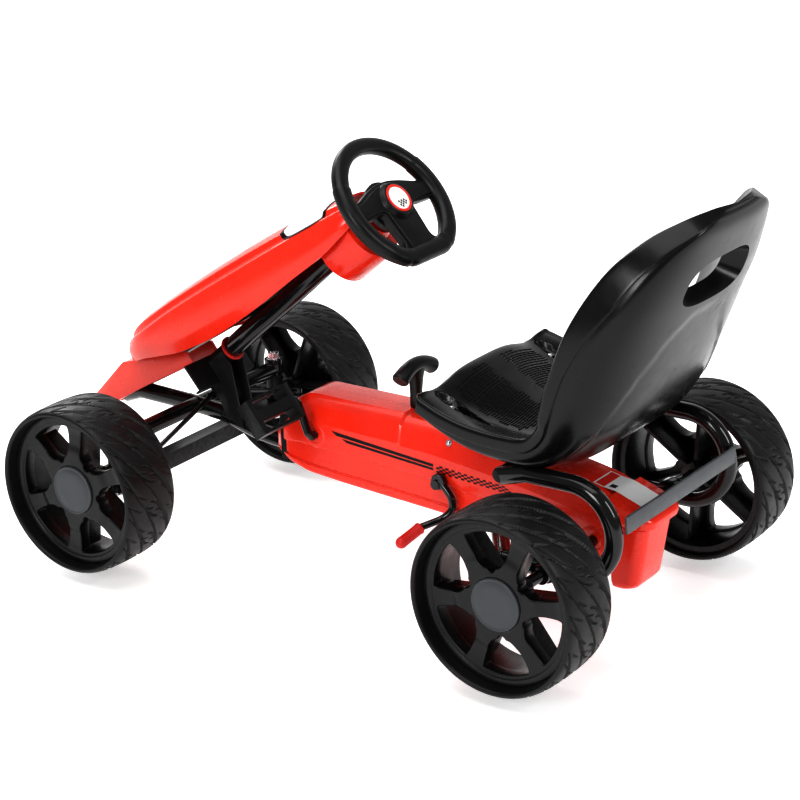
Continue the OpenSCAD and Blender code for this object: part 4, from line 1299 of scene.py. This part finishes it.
def dress(node, material, width):
    """Gives a shown CAD node its material and rounds its edges, leaving its own points as they are."""
    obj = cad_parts[node]
    obj.data.materials.clear()
    obj.data.materials.append(material)
    weld = obj.modifiers.new("join", "WELD")
    weld.merge_threshold = MERGE
    round_edges(obj, width)
    shade_smooth(obj)


for material, width, nodes in DRESS:
    for node in nodes.split():
        dress(node, material, width)


# ---------- floor, light and camera ----------

VIEW_AWAY = Vector((0.599, -0.801, 0))
VIEW_SIDE = Vector((0.801, 0.599, 0))


def make_floor():
    """A pale sweep: floor, a wide curve and a back wall far behind."""
    outline = through([(-6, 0), (6, 0), (9, 0.25), (10.6, 1.6), (11, 4), (11, 12)], 60)
    points = [(VIEW_AWAY * x + VIEW_SIDE * k + Vector((0, 0, z))) / MM for x, z in outline for k in (-14, 14)]
    material, tree, shader = new_material("floor", 0.75, Emission_Color=(1, 1, 1, 1), Emission_Strength=0.5)
    tone = blended(tree, noise(tree, 3, 2), (0.86, 0.86, 0.86, 1), (0.88, 0.88, 0.88, 1))
    tree.links.new(tone, shader.inputs["Base Color"])
    floor = add_object("floor", points, grid_faces(len(outline), 2), material)
    if floor.data.polygons[0].normal.z < 0:
        floor.data.flip_normals()


def area_light(name, place, target, size, power):
    """A rectangular lamp at place, in metres, facing the target."""
    data = bpy.data.lights.new(name, "AREA")
    data.shape = "RECTANGLE"
    data.size, data.size_y = size
    data.energy = power
    lamp = linked(name, data)
    lamp.location = place
    lamp.rotation_euler = (Vector(target) - Vector(place)).to_track_quat("-Z", "Y").to_euler()


def make_lights():
    """Soft studio light: a large lamp overhead, three around, and a pale world."""
    area_light("top", (0.2, 0.6, 3.6), (0, 0, 0.2), (4.0, 3.0), 118)
    area_light("left", (-0.6, 3.9, 1.9), (0, 0, 0.3), (1.2, 1.4), 68)
    area_light("right", (3.0, -1.6, 2.2), (0.1, 0, 0.3), (1.4, 1.8), 50)
    area_light("back", (-3.2, -0.4, 2.0), (-0.2, 0, 0.3), (0.9, 1.7), 48)
    world = bpy.data.worlds.new("studio")
    world.use_nodes = True
    background = world.node_tree.nodes["Background"]
    background.inputs["Color"].default_value = (1, 1, 1, 1)
    background.inputs["Strength"].default_value = 0.38
    bpy.context.scene.world = world


def make_camera():
    """The camera behind and to the left of the kart, slightly rolled."""
    azimuth, elevation, roll = (math.radians(a) for a in (216.784, 20.254, -2.333))
    back = Vector((math.sin(azimuth) * math.cos(elevation), -math.cos(azimuth) * math.cos(elevation),
                   math.sin(elevation)))
    right = (-back).cross(Vector((0, 0, 1))).normalized()
    up = right.cross(-back)
    across = right * math.cos(roll) + up * math.sin(roll)
    upward = up * math.cos(roll) - right * math.sin(roll)
    data = bpy.data.cameras.new("camera")
    data.sensor_width = 36
    data.lens = 105.2
    data.clip_end = 60
    camera = linked("camera", data)
    turn = Matrix((across, upward, back)).transposed().to_4x4()
    camera.matrix_world = Matrix.Translation((-1.869, 2.4755, 1.385)) @ turn
    bpy.context.scene.camera = camera


make_floor()
make_lights()
make_camera()
bpy.context.scene.view_settings.view_transform = "Standard"
bpy.context.scene.view_settings.gamma = 0.74
